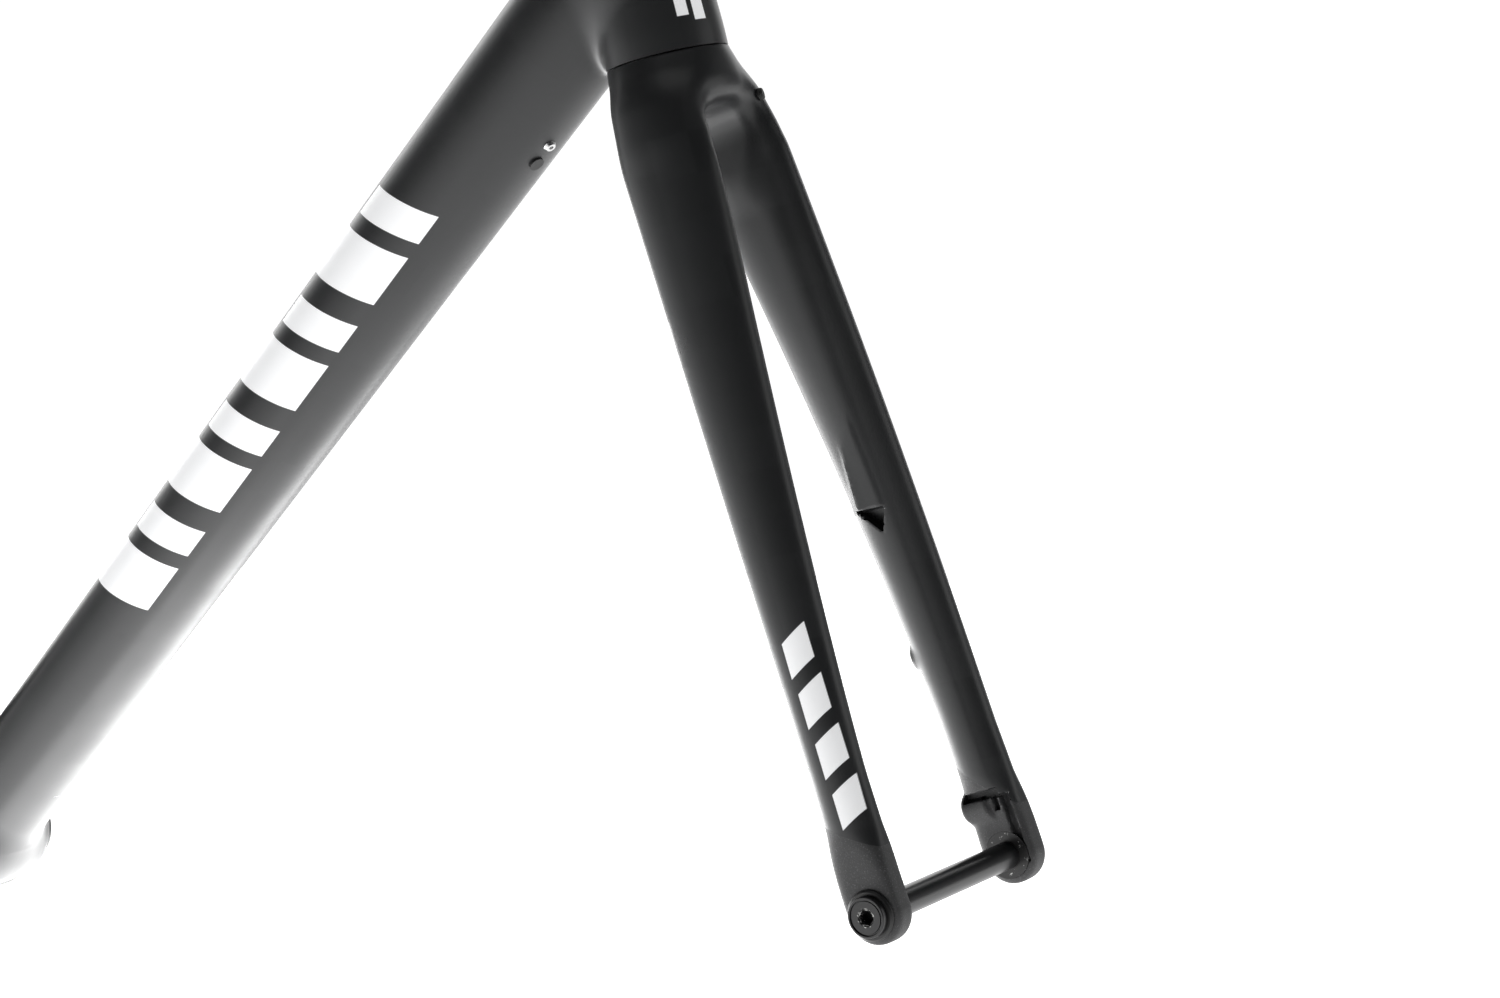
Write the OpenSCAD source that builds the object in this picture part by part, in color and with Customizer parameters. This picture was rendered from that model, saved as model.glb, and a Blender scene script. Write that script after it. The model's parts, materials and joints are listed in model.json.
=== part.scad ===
// Carbon road disc frameset: frame, fork, headset and thru-axles.
// Millimetres. X points forward, Y to the rider's left, Z up.
// The origin is the centre of the bottom bracket shell.

/* [Frame layout] */
// Height of the head tube's top above the bottom bracket
stack = 540; // [520:5:560]
// Distance of the head tube's top ahead of the bottom bracket
reach = 384; // [375:1:395]
// Head tube angle from the ground, degrees
head_angle = 73.5; // [72.5:0.25:74.5]
// Seat tube angle from the ground, degrees
seat_angle = 73.5; // [73:0.25:74]
// Length of the head tube
head_tube_len = 136; // [130:1:150]
// Length of the seat tube, centre to top
seat_tube_len = 505; // [495:5:520]
// Height of the wheel axles above the bottom bracket
bb_drop = 70; // [66:1:74]
// Horizontal distance from bottom bracket to rear axle
rear_centre = 404; // [400:1:412]

/* [Frame tubes] */
// Half height of the down tube at the bottom bracket
down_tube_low = 24.7; // [23:0.1:25]
// Half height of the down tube at the head tube
down_tube_high = 29.3; // [28:0.1:30]
// Half height of the top tube at the head tube
top_tube_high = 19; // [17:0.5:20]
// Half height of the top tube at the seat tube
top_tube_low = 15; // [13:0.5:15.5]
// Radius of the seat tube at its foot
seat_tube_low = 19; // [18:0.25:20]
// Radius of the seat tube at its top
seat_tube_high = 16.9; // [16.8:0.05:17.2]
// Diameter of the seatpost
seatpost_d = 27.2; // [27.2:0.1:27.3]
// Wall of the carbon tubes
wall = 1.8; // [1.5:0.1:2.2]
// Width of the threaded bottom bracket shell
bb_width = 68; // [68:1:68]

/* [Fork] */
// Straight distance from the axle to the crown seat
axle_to_crown = 370; // [368:1:374]
// Offset of the axle ahead of the steering axis
rake = 45; // [43:1:47]
// Radius of the crown at the headset seam
crown_r = 26.7; // [26.5:0.1:27]
// Half depth of a leg where it leaves the crown
leg_depth_top = 23.2; // [22:0.1:24]
// Half depth of a leg above the tip
leg_depth_low = 12.2; // [11.5:0.1:13]
// Half width of a leg where it leaves the crown
leg_width_top = 13; // [12:0.1:13.5]
// Half width of a leg above the tip
leg_width_low = 8.4; // [8:0.1:9]
// Largest tyre radius that clears the crown
tyre_clear_r = 343; // [341:1:344]
// Height of the steerer tube above the head tube
steerer_above = 72.5; // [72.5:0.5:90]

/* [Axles] */
// Diameter of both thru-axles
axle_d = 12; // [12:1:12]
// Width of the front hub
front_hub_w = 100; // [100:1:100]
// Width of the rear hub
rear_hub_w = 142; // [142:1:142]

/* [Hidden] */

$fn = 64;
carbon = "#1b1c1e";
alloy = "#3a3c3f";
steel = "#b9bcc0";
rubber = "#151515";
fit_gap = 0.05; // radial gap of a fitted metal piece
cut = 60; // reach of cutting shapes beyond the piece

// Steering axis: it meets the headset seam at (seam_x, 0, seam_z)
seam_x = reach + head_tube_len * cos(head_angle);
seam_z = stack - head_tube_len * sin(head_angle);
crown_top = -0.8;

// Fork stations are distances below the seam, along the steering axis
axle_t = sqrt(axle_to_crown * axle_to_crown - rake * rake);
root_t = 30;
leg_top_t = 52;
leg_low_t = 334;
tip_r = 13.5;

// Wheel axles
axle_r = axle_d / 2;
axle_bore_r = axle_r + fit_gap;
front_half = front_hub_w / 2;
rear_half = rear_hub_w / 2;
rear_axle_pos = [-rear_centre, 0, bb_drop];
dropout_t = 8;

// Down tube: from the bottom bracket to a point on the steering axis
down_tube_join = 53.8; // above the seam
down_top_x = seam_x - down_tube_join * cos(head_angle);
down_top_z = seam_z + down_tube_join * sin(head_angle);
down_len = sqrt(down_top_x * down_top_x + down_top_z * down_top_z);
down_tilt = atan2(down_top_x, down_top_z);

// Top tube: from the head tube to the seat tube
top_front_drop = 26; // below the head tube's top
top_rear_drop = 37; // below the seat tube's top
top_front_x = reach + top_front_drop * cos(head_angle);
top_front_z = stack - top_front_drop * sin(head_angle);
top_rear_x = -(seat_tube_len - top_rear_drop) * cos(seat_angle);
top_rear_z = (seat_tube_len - top_rear_drop) * sin(seat_angle);
top_dx = top_front_x - top_rear_x;
top_dz = top_front_z - top_rear_z;
top_len = sqrt(top_dx * top_dx + top_dz * top_dz);

// Bottle bosses, 64 mm apart on each tube
boss_pitch = 64;
down_boss_s = 206.5;
seat_boss_s = 158;
boss_bore_r = 2.1;
boss_barrel_r = 3.4;

// Headset bearings: [outer r, inner r, height, pitch r]
lower_bearing = [23.45, 17.05, 7, 20.25];
upper_bearing = [20.9, 15.25, 6.5, 18.1];
ball_r = 1.5;
race_chamfer = 1.6;
lower_bearing_z = 0.9;
upper_bearing_z = head_tube_len - 0.8 - upper_bearing[2];
steerer_r = 14.3;
steerer_base_r = 15.9;
steerer_low = -22; // end of the steerer inside the crown
cover_h = 7.5;
spacer_h = 10;
steerer_top = head_tube_len + steerer_above;
// The stem clamps above this line, which a fine groove marks under the spacers
clamp_low = head_tube_len + cover_h + 2 * spacer_h + 0.1;

// Flat mount brake faces
front_brake_y = 53;
front_brake_t = 276;
front_brake_pitch = 70;
rear_brake_x = -312;
rear_brake_pitch = 34;
brake_hole_r = 2.1;

// ---------- general shapes ----------

// One corner of a rounded oval with half sizes a, b and squareness e
function oval_point(angle, a, b, e) = [
    a * sign(cos(angle)) * pow(abs(cos(angle)), 2 / e),
    b * sign(sin(angle)) * pow(abs(sin(angle)), 2 / e)
];

// A ring of n points in the plane z, centred at (x, y)
function ring(x, y, z, a, b, e = 2, n = 28) = [
    for (i = [0:n - 1])
        let (p = oval_point(360 * (i + 0.5) / n, a, b, e))
        [x + p[0], y + p[1], z]
];

// A solid through the rings, which run from its top to its bottom
module loft(rings) {
    n = len(rings[0]);
    m = len(rings);
    sides = [
        for (j = [0:m - 2], i = [0:n - 1])
            let (k = (i + 1) % n)
            each [
                [j * n + i, j * n + k, (j + 1) * n + k],
                [j * n + i, (j + 1) * n + k, (j + 1) * n + i]
            ]
    ];
    top = [for (i = [0:n - 1]) n - 1 - i];
    bottom = [for (i = [0:n - 1]) (m - 1) * n + i];
    polyhedron(points = [for (r = rings) each r], faces = concat([top], sides, [bottom]));
}

// Mixes two values: p = 0 gives a, p = 1 gives b
function mix(a, b, p) = a + (b - a) * p;

module on_steering_axis() {
    translate([seam_x, 0, seam_z])
        rotate([0, head_angle - 90, 0])
            children();
}

module on_seat_tube() {
    rotate([0, seat_angle - 90, 0])
        children();
}

module on_down_tube() {
    rotate([0, down_tilt, 0])
        children();
}

// Turns a piece built along Z so that it points along Y
module along_y() {
    rotate([-90, 0, 0])
        children();
}

// ---------- head tube and headset ----------

head_outline = [
    [crown_r, 0], [crown_r, 9], [25.4, 34], [24.4, 96], [24.4, head_tube_len]
];

module head_tube_blank() {
    rotate_extrude()
        polygon(concat([[0, 0]], head_outline, [[0, head_tube_len]]));
}

module head_tube() {
    low_seat = lower_bearing_z + lower_bearing[2] - race_chamfer + fit_gap;
    top_seat = upper_bearing_z + race_chamfer - fit_gap;
    low_r = lower_bearing[0] + fit_gap;
    top_r = upper_bearing[0] + fit_gap;
    bore_r = 18.6;
    color(carbon)
        on_steering_axis()
            rotate_extrude()
                polygon(concat(
                    [[low_r, 0]], head_outline,
                    [
                        [top_r, head_tube_len], [top_r, top_seat],
                        [bore_r, top_seat - (top_r - bore_r)],
                        [bore_r, low_seat + (low_r - bore_r)], [low_r, low_seat]
                    ]
                ));
}

// Outer race: its outer corner has the 45 degree seat on top
module outer_race(size) {
    r_land = size[3] + 1;
    rotate_extrude()
        difference() {
            polygon([
                [r_land, 0], [size[0], 0], [size[0], size[2] - race_chamfer],
                [size[0] - race_chamfer, size[2]], [r_land, size[2]]
            ]);
            translate([size[3], size[2] / 2])
                circle(r = ball_r + 0.12);
        }
}

// Inner race: its inner corner has the 45 degree seat below
module inner_race(size) {
    r_land = size[3] - 1;
    rotate_extrude()
        difference() {
            polygon([
                [size[1] + race_chamfer, 0], [r_land, 0], [r_land, size[2]],
                [size[1], size[2]], [size[1], race_chamfer]
            ]);
            translate([size[3], size[2] / 2])
                circle(r = ball_r + 0.12);
        }
}

module bearing_balls(size, count) {
    for (i = [0:count - 1])
        rotate([0, 0, 360 * i / count])
            translate([size[3], 0, size[2] / 2])
                sphere(r = ball_r);
}

module bearing_cage(size, count) {
    difference() {
        translate([0, 0, size[2] / 2 - 1])
            difference() {
                cylinder(r = size[3] + 0.7, h = 2.6);
                translate([0, 0, -1])
                    cylinder(r = size[3] - 0.7, h = 5);
            }
        for (i = [0:count - 1])
            rotate([0, 0, 360 * i / count])
                translate([size[3], 0, size[2] / 2])
                    sphere(r = ball_r + 0.06);
    }
}

// Two thin seals that close the gap between the races
module bearing_seals(size) {
    for (z = [0.15, size[2] - 0.65])
        translate([0, 0, z])
            difference() {
                cylinder(r = size[3] + 0.95, h = 0.5);
                translate([0, 0, -1])
                    cylinder(r = size[3] - 0.6, h = 3);
            }
}

module at_lower_bearing() {
    on_steering_axis()
        translate([0, 0, lower_bearing_z])
            children();
}

// The upper bearing is the same way up as the lower one seen from below
module at_upper_bearing() {
    on_steering_axis()
        translate([0, 0, upper_bearing_z + upper_bearing[2]])
            mirror([0, 0, 1])
                children();
}

module lower_outer_race() {
    color(steel)
        at_lower_bearing()
            outer_race(lower_bearing);
}

module lower_inner_race() {
    color(steel)
        at_lower_bearing()
            inner_race(lower_bearing);
}

module lower_bearing_balls() {
    color(steel)
        at_lower_bearing()
            bearing_balls(lower_bearing, 20);
}

module lower_bearing_cage() {
    color(rubber)
        at_lower_bearing()
            bearing_cage(lower_bearing, 20);
}

module lower_bearing_seals() {
    color(rubber)
        at_lower_bearing()
            bearing_seals(lower_bearing);
}

module upper_outer_race() {
    color(steel)
        at_upper_bearing()
            outer_race(upper_bearing);
}

module upper_inner_race() {
    color(steel)
        at_upper_bearing()
            inner_race(upper_bearing);
}

module upper_bearing_balls() {
    color(steel)
        at_upper_bearing()
            bearing_balls(upper_bearing, 18);
}

module upper_bearing_cage() {
    color(rubber)
        at_upper_bearing()
            bearing_cage(upper_bearing, 18);
}

module upper_bearing_seals() {
    color(rubber)
        at_upper_bearing()
            bearing_seals(upper_bearing);
}

// Cone on the crown that carries the lower bearing's inner race
module crown_race() {
    seat_sum = lower_bearing[1] + race_chamfer + lower_bearing_z - 0.1;
    bore = 16.55;
    color(steel)
        on_steering_axis()
            rotate_extrude()
                polygon([
                    [bore, crown_top], [22.8, crown_top], [22.8, 0.4],
                    [seat_sum - 0.4, 0.4], [bore, seat_sum - bore]
                ]);
}

// Split wedge between the steerer and the upper inner race
module compression_ring() {
    seat_diff = upper_bearing[1] - (upper_bearing_z + upper_bearing[2] - race_chamfer) - 0.1;
    top = head_tube_len + 0.4;
    wedge_r = 16.7;
    color(alloy)
        on_steering_axis()
            difference() {
                rotate_extrude()
                    polygon([
                        [steerer_r + fit_gap, steerer_r + 0.3 - seat_diff],
                        [steerer_r + 0.3, steerer_r + 0.3 - seat_diff],
                        [wedge_r, wedge_r - seat_diff], [wedge_r, top],
                        [steerer_r + fit_gap, top]
                    ]);
                translate([-cut, -1, top - 10])
                    cube([cut, 2, 20]);
            }
}

module headset_top_cover() {
    base = head_tube_len + 0.6;
    color(alloy)
        on_steering_axis()
            rotate_extrude()
                polygon([
                    [steerer_r + 0.1, base], [24.3, base], [24.3, base + 1.6],
                    [22.5, base + 4], [18.6, head_tube_len + cover_h],
                    [steerer_r + 0.1, head_tube_len + cover_h]
                ]);
}

module headset_spacers() {
    edge = 0.6;
    color(alloy)
        on_steering_axis()
            for (i = [0:1])
                translate([0, 0, head_tube_len + cover_h + 0.02 + i * (spacer_h + 0.02)])
                    rotate_extrude()
                        polygon([
                            [steerer_r + 0.1, 0], [17.6 - edge, 0], [17.6, edge],
                            [17.6, spacer_h - edge], [17.6 - edge, spacer_h],
                            [steerer_r + 0.1, spacer_h]
                        ]);
}

// ---------- main tubes ----------

module down_tube_solid(inset) {
    // Sections [distance, half height, half width] from top to bottom
    stations = [
        [down_len + 4, down_tube_high, 25.3], [down_len - 60, down_tube_high - 0.4, 26.8],
        [down_len / 2, mix(down_tube_low, down_tube_high, 0.5), 26.2],
        [0, down_tube_low, down_tube_low]
    ];
    on_down_tube()
        loft([for (s = stations) ring(0, 0, s[0], s[1] - inset, s[2] - inset, 2.05, 32)]);
}

// Half height of the down tube at the distance s from the bottom bracket
function down_tube_r(s) = mix(down_tube_low, down_tube_high, s / down_len);

module bb_barrel_cut() {
    along_y()
        cylinder(r = 26.5, h = 2 * cut, center = true);
}

module down_tube() {
    color(carbon)
        difference() {
            down_tube_solid(0);
            down_tube_solid(wall);
            bb_barrel_cut();
            on_seat_tube()
                seat_tube_blank();
            on_steering_axis()
                head_tube_blank();
            on_down_tube() {
                for (i = [0:1])
                    translate([0, 0, down_boss_s + i * boss_pitch])
                        rotate([0, -90, 0])
                            cylinder(r = boss_barrel_r + fit_gap, h = cut);
                port_place(port_plug_s)
                    cylinder(r = 2.2 + fit_gap, h = 20, center = true);
                port_place(port_screw_s)
                    cylinder(r = 1.6 + fit_gap, h = 20, center = true);
            }
        }
}

// Places a piece on the underside of the down tube, its +Z pointing out
port_plug_s = 507;
port_screw_s = 518;
port_side_angle = 10;
module port_place(s) {
    translate([0, 0, s])
        rotate([0, 0, -port_side_angle])
            translate([down_tube_r(s) + 0.05, 0, 0])
                rotate([0, 90, 0])
                    children();
}

module down_tube_port_plug() {
    color(rubber)
        on_down_tube()
            port_place(port_plug_s) {
                cylinder(r = 3.4, h = 0.9);
                translate([0, 0, -4.4])
                    cylinder(r = 2.2, h = 4.5);
            }
}

module down_tube_port_screw() {
    color(steel)
        on_down_tube()
            port_place(port_screw_s)
                difference() {
                    union() {
                        cylinder(r1 = 2.9, r2 = 2.1, h = 1.5);
                        translate([0, 0, -7.4])
                            cylinder(r = 1.6, h = 7.5);
                    }
                    translate([0, 0, 0.6])
                        cylinder(r = 1.15, h = 3, $fn = 6);
                }
}

module top_tube_solid(inset) {
    stations = [
        [top_len, top_tube_high, 20], [top_len * 0.6, mix(top_tube_low, top_tube_high, 0.6), 18.4],
        [0, top_tube_low, 14.5]
    ];
    translate([top_rear_x, 0, top_rear_z])
        rotate([0, atan2(top_dx, top_dz), 0])
            loft([for (s = stations) ring(0, 0, s[0], s[1] - inset, s[2] - inset, 2.1, 32)]);
}

module top_tube() {
    color(carbon)
        difference() {
            top_tube_solid(0);
            top_tube_solid(wall);
            on_steering_axis()
                head_tube_blank();
            on_seat_tube()
                seat_tube_blank();
        }
}

module seat_tube_blank() {
    cylinder(r1 = seat_tube_low, r2 = seat_tube_high, h = seat_tube_len);
}

module seat_tube() {
    post_r = seatpost_d / 2 + fit_gap;
    post_depth = 160;
    color(carbon)
        difference() {
            on_seat_tube()
                difference() {
                    seat_tube_blank();
                    translate([0, 0, seat_tube_len - post_depth])
                        cylinder(r = post_r, h = post_depth + 1);
                    translate([0, 0, -1])
                        cylinder(
                            r1 = seat_tube_low - wall, r2 = post_r + 0.8,
                            h = seat_tube_len - post_depth + 1
                        );
                    // Clamping slot at the back
                    translate([-cut, -1.25, seat_tube_len - 26])
                        cube([cut, 2.5, 40]);
                    for (i = [0:1])
                        translate([0, 0, seat_boss_s + i * boss_pitch])
                            rotate([0, 90, 0])
                                cylinder(r = boss_barrel_r + fit_gap, h = cut);
                }
            bb_barrel_cut();
        }
}

// Threaded bottle boss: flange outside, barrel inside, +Z pointing out
module bottle_boss() {
    difference() {
        union() {
            cylinder(r1 = 4.9, r2 = 4.3, h = 1);
            translate([0, 0, -9])
                cylinder(r = boss_barrel_r, h = 9.5);
        }
        translate([0, 0, -10])
            cylinder(r = boss_bore_r, h = 20);
    }
}

module down_tube_bottle_bosses() {
    color(alloy)
        on_down_tube()
            for (i = [0:1])
                let (s = down_boss_s + i * boss_pitch)
                translate([-down_tube_r(s) - 0.05, 0, s])
                    rotate([0, -90, 0])
                        bottle_boss();
}

module seat_tube_bottle_bosses() {
    color(alloy)
        on_seat_tube()
            for (i = [0:1])
                let (s = seat_boss_s + i * boss_pitch)
                translate([mix(seat_tube_low, seat_tube_high, s / seat_tube_len) + 0.05, 0, s])
                    rotate([0, 90, 0])
                        bottle_boss();
}

// ---------- bottom bracket ----------

bb_outline = [
    [20.8, -33], [20.8, -30], [26.5, -25.4], [26.5, 25.4], [20.8, 30], [20.8, 33]
];
bb_sleeve_r = 18.6;

module bb_blank() {
    along_y()
        rotate_extrude()
            polygon(concat([[0, -33]], bb_outline, [[0, 33]]));
}

module bb_shell() {
    seat_r = bb_sleeve_r + fit_gap;
    color(carbon)
        difference() {
            along_y()
                rotate_extrude()
                    polygon(concat(
                        [[seat_r, -33]], bb_outline,
                        [[seat_r, 33], [seat_r, 28], [24, 23], [24, -23], [seat_r, -28]]
                    ));
            // Cable opening below
            translate([-6, -8, -30])
                cube([20, 16, 10]);
            bb_screw_place()
                cylinder(r = 1.6, h = 12, center = true);
        }
}

// The cover's screw, behind the cable opening, its +Z pointing in
cover_r = 28;
module bb_screw_place() {
    rotate([0, 23, 0])
        translate([0, 0, -cover_r])
            children();
}

module bb_thread_sleeve() {
    thread_r = 16.9;
    half = bb_width / 2;
    color(alloy)
        along_y()
            rotate_extrude()
                polygon([
                    [thread_r, -half], [20.2, -half], [20.2, -33.05], [bb_sleeve_r, -33.05],
                    [bb_sleeve_r, 33.05], [20.2, 33.05], [20.2, half], [thread_r, half]
                ]);
}

module bb_port_cover() {
    color(rubber)
        difference() {
            intersection() {
                along_y()
                    difference() {
                        cylinder(r = cover_r, h = 22, center = true);
                        cylinder(r = 26.6, h = 30, center = true);
                    }
                translate([-16, -20, -40])
                    cube([34, 40, 25]);
            }
            bb_screw_place()
                cylinder(r = 1.6, h = 12, center = true);
        }
}

module bb_port_screw() {
    color(steel)
        bb_screw_place()
            difference() {
                union() {
                    translate([0, 0, -1.3])
                        cylinder(r1 = 2.2, r2 = 2.9, h = 1.2);
                    translate([0, 0, -0.2])
                        cylinder(r = 1.5, h = 6.2);
                }
                translate([0, 0, -3])
                    cylinder(r = 1.15, h = 2.6, $fn = 6);
            }
}

// ---------- rear stays and dropouts ----------

stay_front_x = -22;
stay_rear_x = -(rear_centre - 20);
function stay_y(p) = 21 + (rear_half + dropout_t / 2 - 21) * pow(p, 1.15);
function stay_z(p) = mix(-2, bb_drop - 4, p);
function stay_half_h(p) = mix(17, 10, p);
function stay_half_w(p) = 6.6 + 0.9 * sin(180 * p) - 2.6 * pow(p, 6);

// Chainstay on the side of s, +1 left and -1 right, built down the -X way
module chainstay_solid(s, inset) {
    steps = 12;
    rings = [
        for (j = [0:steps])
            let (p = j / steps)
            ring(
                -stay_z(p), s * stay_y(p), mix(stay_front_x, stay_rear_x, p),
                stay_half_h(p) - inset, stay_half_w(p) - inset, 2.6, 20
            )
    ];
    rotate([0, 90, 0])
        loft(rings);
}

module chainstay(s) {
    difference() {
        chainstay_solid(s, 0);
        chainstay_solid(s, wall);
        bb_blank();
        on_seat_tube()
            seat_tube_blank();
    }
}

// Place of the rear brake bolt k on the left chainstay, square to its top
module rear_brake_place(k) {
    x = rear_brake_x - k * rear_brake_pitch * cos(11);
    p = (x - stay_front_x) / (stay_rear_x - stay_front_x);
    translate([x, stay_y(p) - 0.4, stay_z(p)])
        rotate([0, 11, 0])
            children();
}

module chainstay_left() {
    color(carbon)
        difference() {
            chainstay(1);
            for (k = [0:1])
                rear_brake_place(k)
                    cylinder(r = 4.2 + fit_gap, h = 40, center = true);
            hose_port_place() {
                cylinder(r = 3 + fit_gap, h = 20, center = true);
                // Flat seat for the grommet's flange
                translate([0, 0, -0.02])
                    cylinder(r = 4 + fit_gap, h = 10);
            }
        }
}

module chainstay_right() {
    color(carbon)
        chainstay(-1);
}

// Spacer tubes that carry the two rear brake bolts through the chainstay
module rear_brake_sleeves() {
    color(alloy)
        for (k = [0:1])
            rear_brake_place(k)
                difference() {
                    cylinder(r = 4.2, h = 24.4, center = true);
                    cylinder(r = 2.6, h = 40, center = true);
                }
}

// Top of the left chainstay, ahead of the brake
module hose_port_place() {
    p = 0.68;
    translate([mix(stay_front_x, stay_rear_x, p), stay_y(p), stay_z(p) + stay_half_h(p)])
        rotate([0, -35, 0])
            children();
}

module rear_hose_grommet() {
    color(rubber)
        hose_port_place()
            difference() {
                union() {
                    cylinder(r1 = 4, r2 = 3.4, h = 2.4);
                    translate([0, 0, -3])
                        cylinder(r = 3, h = 4);
                }
                translate([0, 0, -5])
                    cylinder(r = 2.6, h = 20);
            }
}

// Seatstay: from the dropout up to the side of the seat tube
seatstay_top = [-118, 17, 388];
seatstay_foot = [-rear_centre + 11, rear_half + dropout_t / 2, bb_drop + 20];
seatstay_dx = seatstay_top[0] - seatstay_foot[0];
seatstay_dz = seatstay_top[2] - seatstay_foot[2];
seatstay_run = sqrt(seatstay_dx * seatstay_dx + seatstay_dz * seatstay_dz);
seatstay_tilt = atan2(seatstay_dx, seatstay_dz);

module seatstay_solid(s, inset) {
    steps = 6;
    rings = [
        for (j = [0:steps])
            let (p = j / steps)
            ring(
                0, s * mix(seatstay_top[1], seatstay_foot[1], p), seatstay_run * (1 - p),
                mix(9.5, 7.5, p) - inset, mix(7, 4, p * p) - inset, 2.4, 20
            )
    ];
    translate([seatstay_foot[0], 0, seatstay_foot[2]])
        rotate([0, seatstay_tilt, 0])
            loft(rings);
}

module seatstay(s) {
    difference() {
        seatstay_solid(s, 0);
        seatstay_solid(s, 1.4);
        on_seat_tube()
            seat_tube_blank();
    }
}

module seatstay_left() {
    color(carbon)
        seatstay(1);
}

module seatstay_right() {
    color(carbon)
        seatstay(-1);
}

// Side outline of a dropout: flat ends for the stays, round at the axle.
// X and Y here are forward and up from the axle.
function arc_points(r, from, to, steps) = [
    for (i = [0:steps])
        let (a = from + (to - from) * i / steps)
        [r * cos(a), r * sin(a)]
];

foot = [seatstay_foot[0] + rear_centre, seatstay_foot[2] - bb_drop];
across = [-cos(seatstay_tilt), sin(seatstay_tilt)] * 7.5;
dropout_outline = concat(
    arc_points(15, 150, 290, 14),
    [
        [20, -14], [20, 6], [18, 12],
        foot - across, foot + across
    ]
);

// Dropout plate between the heights y0 and y1 along Y
module dropout_plate(y0, y1) {
    translate([-rear_centre, 0, bb_drop])
        rotate([90, 0, 0])
            translate([0, 0, -y1])
                linear_extrude(y1 - y0)
                    polygon(dropout_outline);
}

module at_rear_axle() {
    translate(rear_axle_pos)
        along_y()
            children();
}

module dropout_left() {
    color(carbon)
        difference() {
            dropout_plate(rear_half, rear_half + dropout_t);
            at_rear_axle()
                cylinder(r = 8.05, h = 200);
        }
}

module dropout_right() {
    color(carbon)
        difference() {
            dropout_plate(-rear_half - dropout_t, -rear_half);
            at_rear_axle()
                translate([0, 0, -200])
                    cylinder(r = 8.05, h = 200);
        }
}

// A flanged tube along Y: barrel from y0 to y1 and a flange at y1 to y2
module flanged_bush(y0, y1, y2, flange_r) {
    rotate_extrude()
        polygon([
            [axle_bore_r, y0], [8, y0], [8, y1], [flange_r, y1], [flange_r, y2],
            [axle_bore_r, y2]
        ]);
}

module rear_axle_bushing() {
    color(alloy)
        at_rear_axle()
            flanged_bush(rear_half + 0.05, rear_half + dropout_t, rear_half + dropout_t + 1.2, 10.5);
}

hanger_out = rear_half + dropout_t + 6.5;
hanger_hole = [-8, -28];

module derailleur_hanger() {
    color(alloy)
        at_rear_axle()
            difference() {
                translate([0, 0, -hanger_out])
                    linear_extrude(6.45)
                        hull() {
                            circle(r = 13);
                            translate([hanger_hole[0], -hanger_hole[1]])
                                circle(r = 8.5);
                        }
                translate([0, 0, -hanger_out - 1])
                    cylinder(r = 8.05, h = 10);
                translate([hanger_hole[0], -hanger_hole[1], -hanger_out - 1])
                    cylinder(r = 4.5, h = 10);
            }
}

module hanger_nut() {
    color(alloy)
        at_rear_axle()
            mirror([0, 0, 1])
                flanged_bush(rear_half + 0.05, hanger_out, hanger_out + 2, 10.5);
}

// Bolt-like axle along +Z: head inside at z = 0, hex socket, shaft to z = reach_z
module axle_shaft(reach_z, head_r, head_h) {
    difference() {
        union() {
            translate([0, 0, -head_h])
                cylinder(r = head_r, h = head_h);
            translate([0, 0, -1])
                cylinder(r = axle_r, h = reach_z);
            translate([0, 0, reach_z - 1.5])
                cylinder(r1 = axle_r, r2 = axle_r - 1.2, h = 1.5);
        }
        translate([0, 0, -head_h - 1])
            cylinder(r = 3.02 / cos(30), h = 7, $fn = 6);
        translate([0, 0, 9])
            cylinder(r = 4, h = reach_z);
    }
}

module axle_washer(outer_r, h) {
    rotate_extrude()
        polygon([
            [axle_r + 0.08, 0], [outer_r, 0], [outer_r, h * 0.55], [outer_r - 0.8, h],
            [axle_r + 0.08, h]
        ]);
}

rear_head_y = rear_half + dropout_t + 1.25;
washer_h = 1.8;

module rear_axle_washer() {
    color(rubber)
        translate([-rear_centre, rear_head_y, bb_drop])
            along_y()
                axle_washer(10.8, washer_h);
}

module rear_axle_shaft() {
    color(alloy)
        translate([-rear_centre, rear_head_y + washer_h + 0.02, bb_drop])
            rotate([90, 0, 0])
                axle_shaft(rear_head_y + hanger_out + 1.5, 8.75, 3);
}

// ---------- seat collar ----------

collar_h = 14;
collar_top = seat_tube_len - 1.5;

module seat_collar() {
    color(alloy)
        on_seat_tube()
            translate([0, 0, collar_top - collar_h])
                difference() {
                    union() {
                        cylinder(r = 20.4, h = collar_h);
                        translate([-30, -7, 0])
                            cube([14, 14, collar_h]);
                    }
                    translate([0, 0, -1])
                        cylinder(r = seat_tube_high + 0.12, h = collar_h + 2);
                    translate([-cut, -1.25, -1])
                        cube([cut, 2.5, collar_h + 2]);
                    translate([-25.5, 0, collar_h / 2])
                        along_y()
                            cylinder(r = 2.55, h = 40, center = true);
                }
}

module seat_collar_bolt() {
    color(steel)
        on_seat_tube()
            translate([-25.5, 0, collar_top - collar_h / 2])
                along_y()
                    difference() {
                        union() {
                            translate([0, 0, -7])
                                cylinder(r = 2.5, h = 14.5);
                            translate([0, 0, 7.02])
                                cylinder(r = 4.2, h = 4);
                        }
                        translate([0, 0, 8.5])
                            cylinder(r = 2.31, h = 4, $fn = 6);
                    }
}

// ---------- fork ----------

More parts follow.
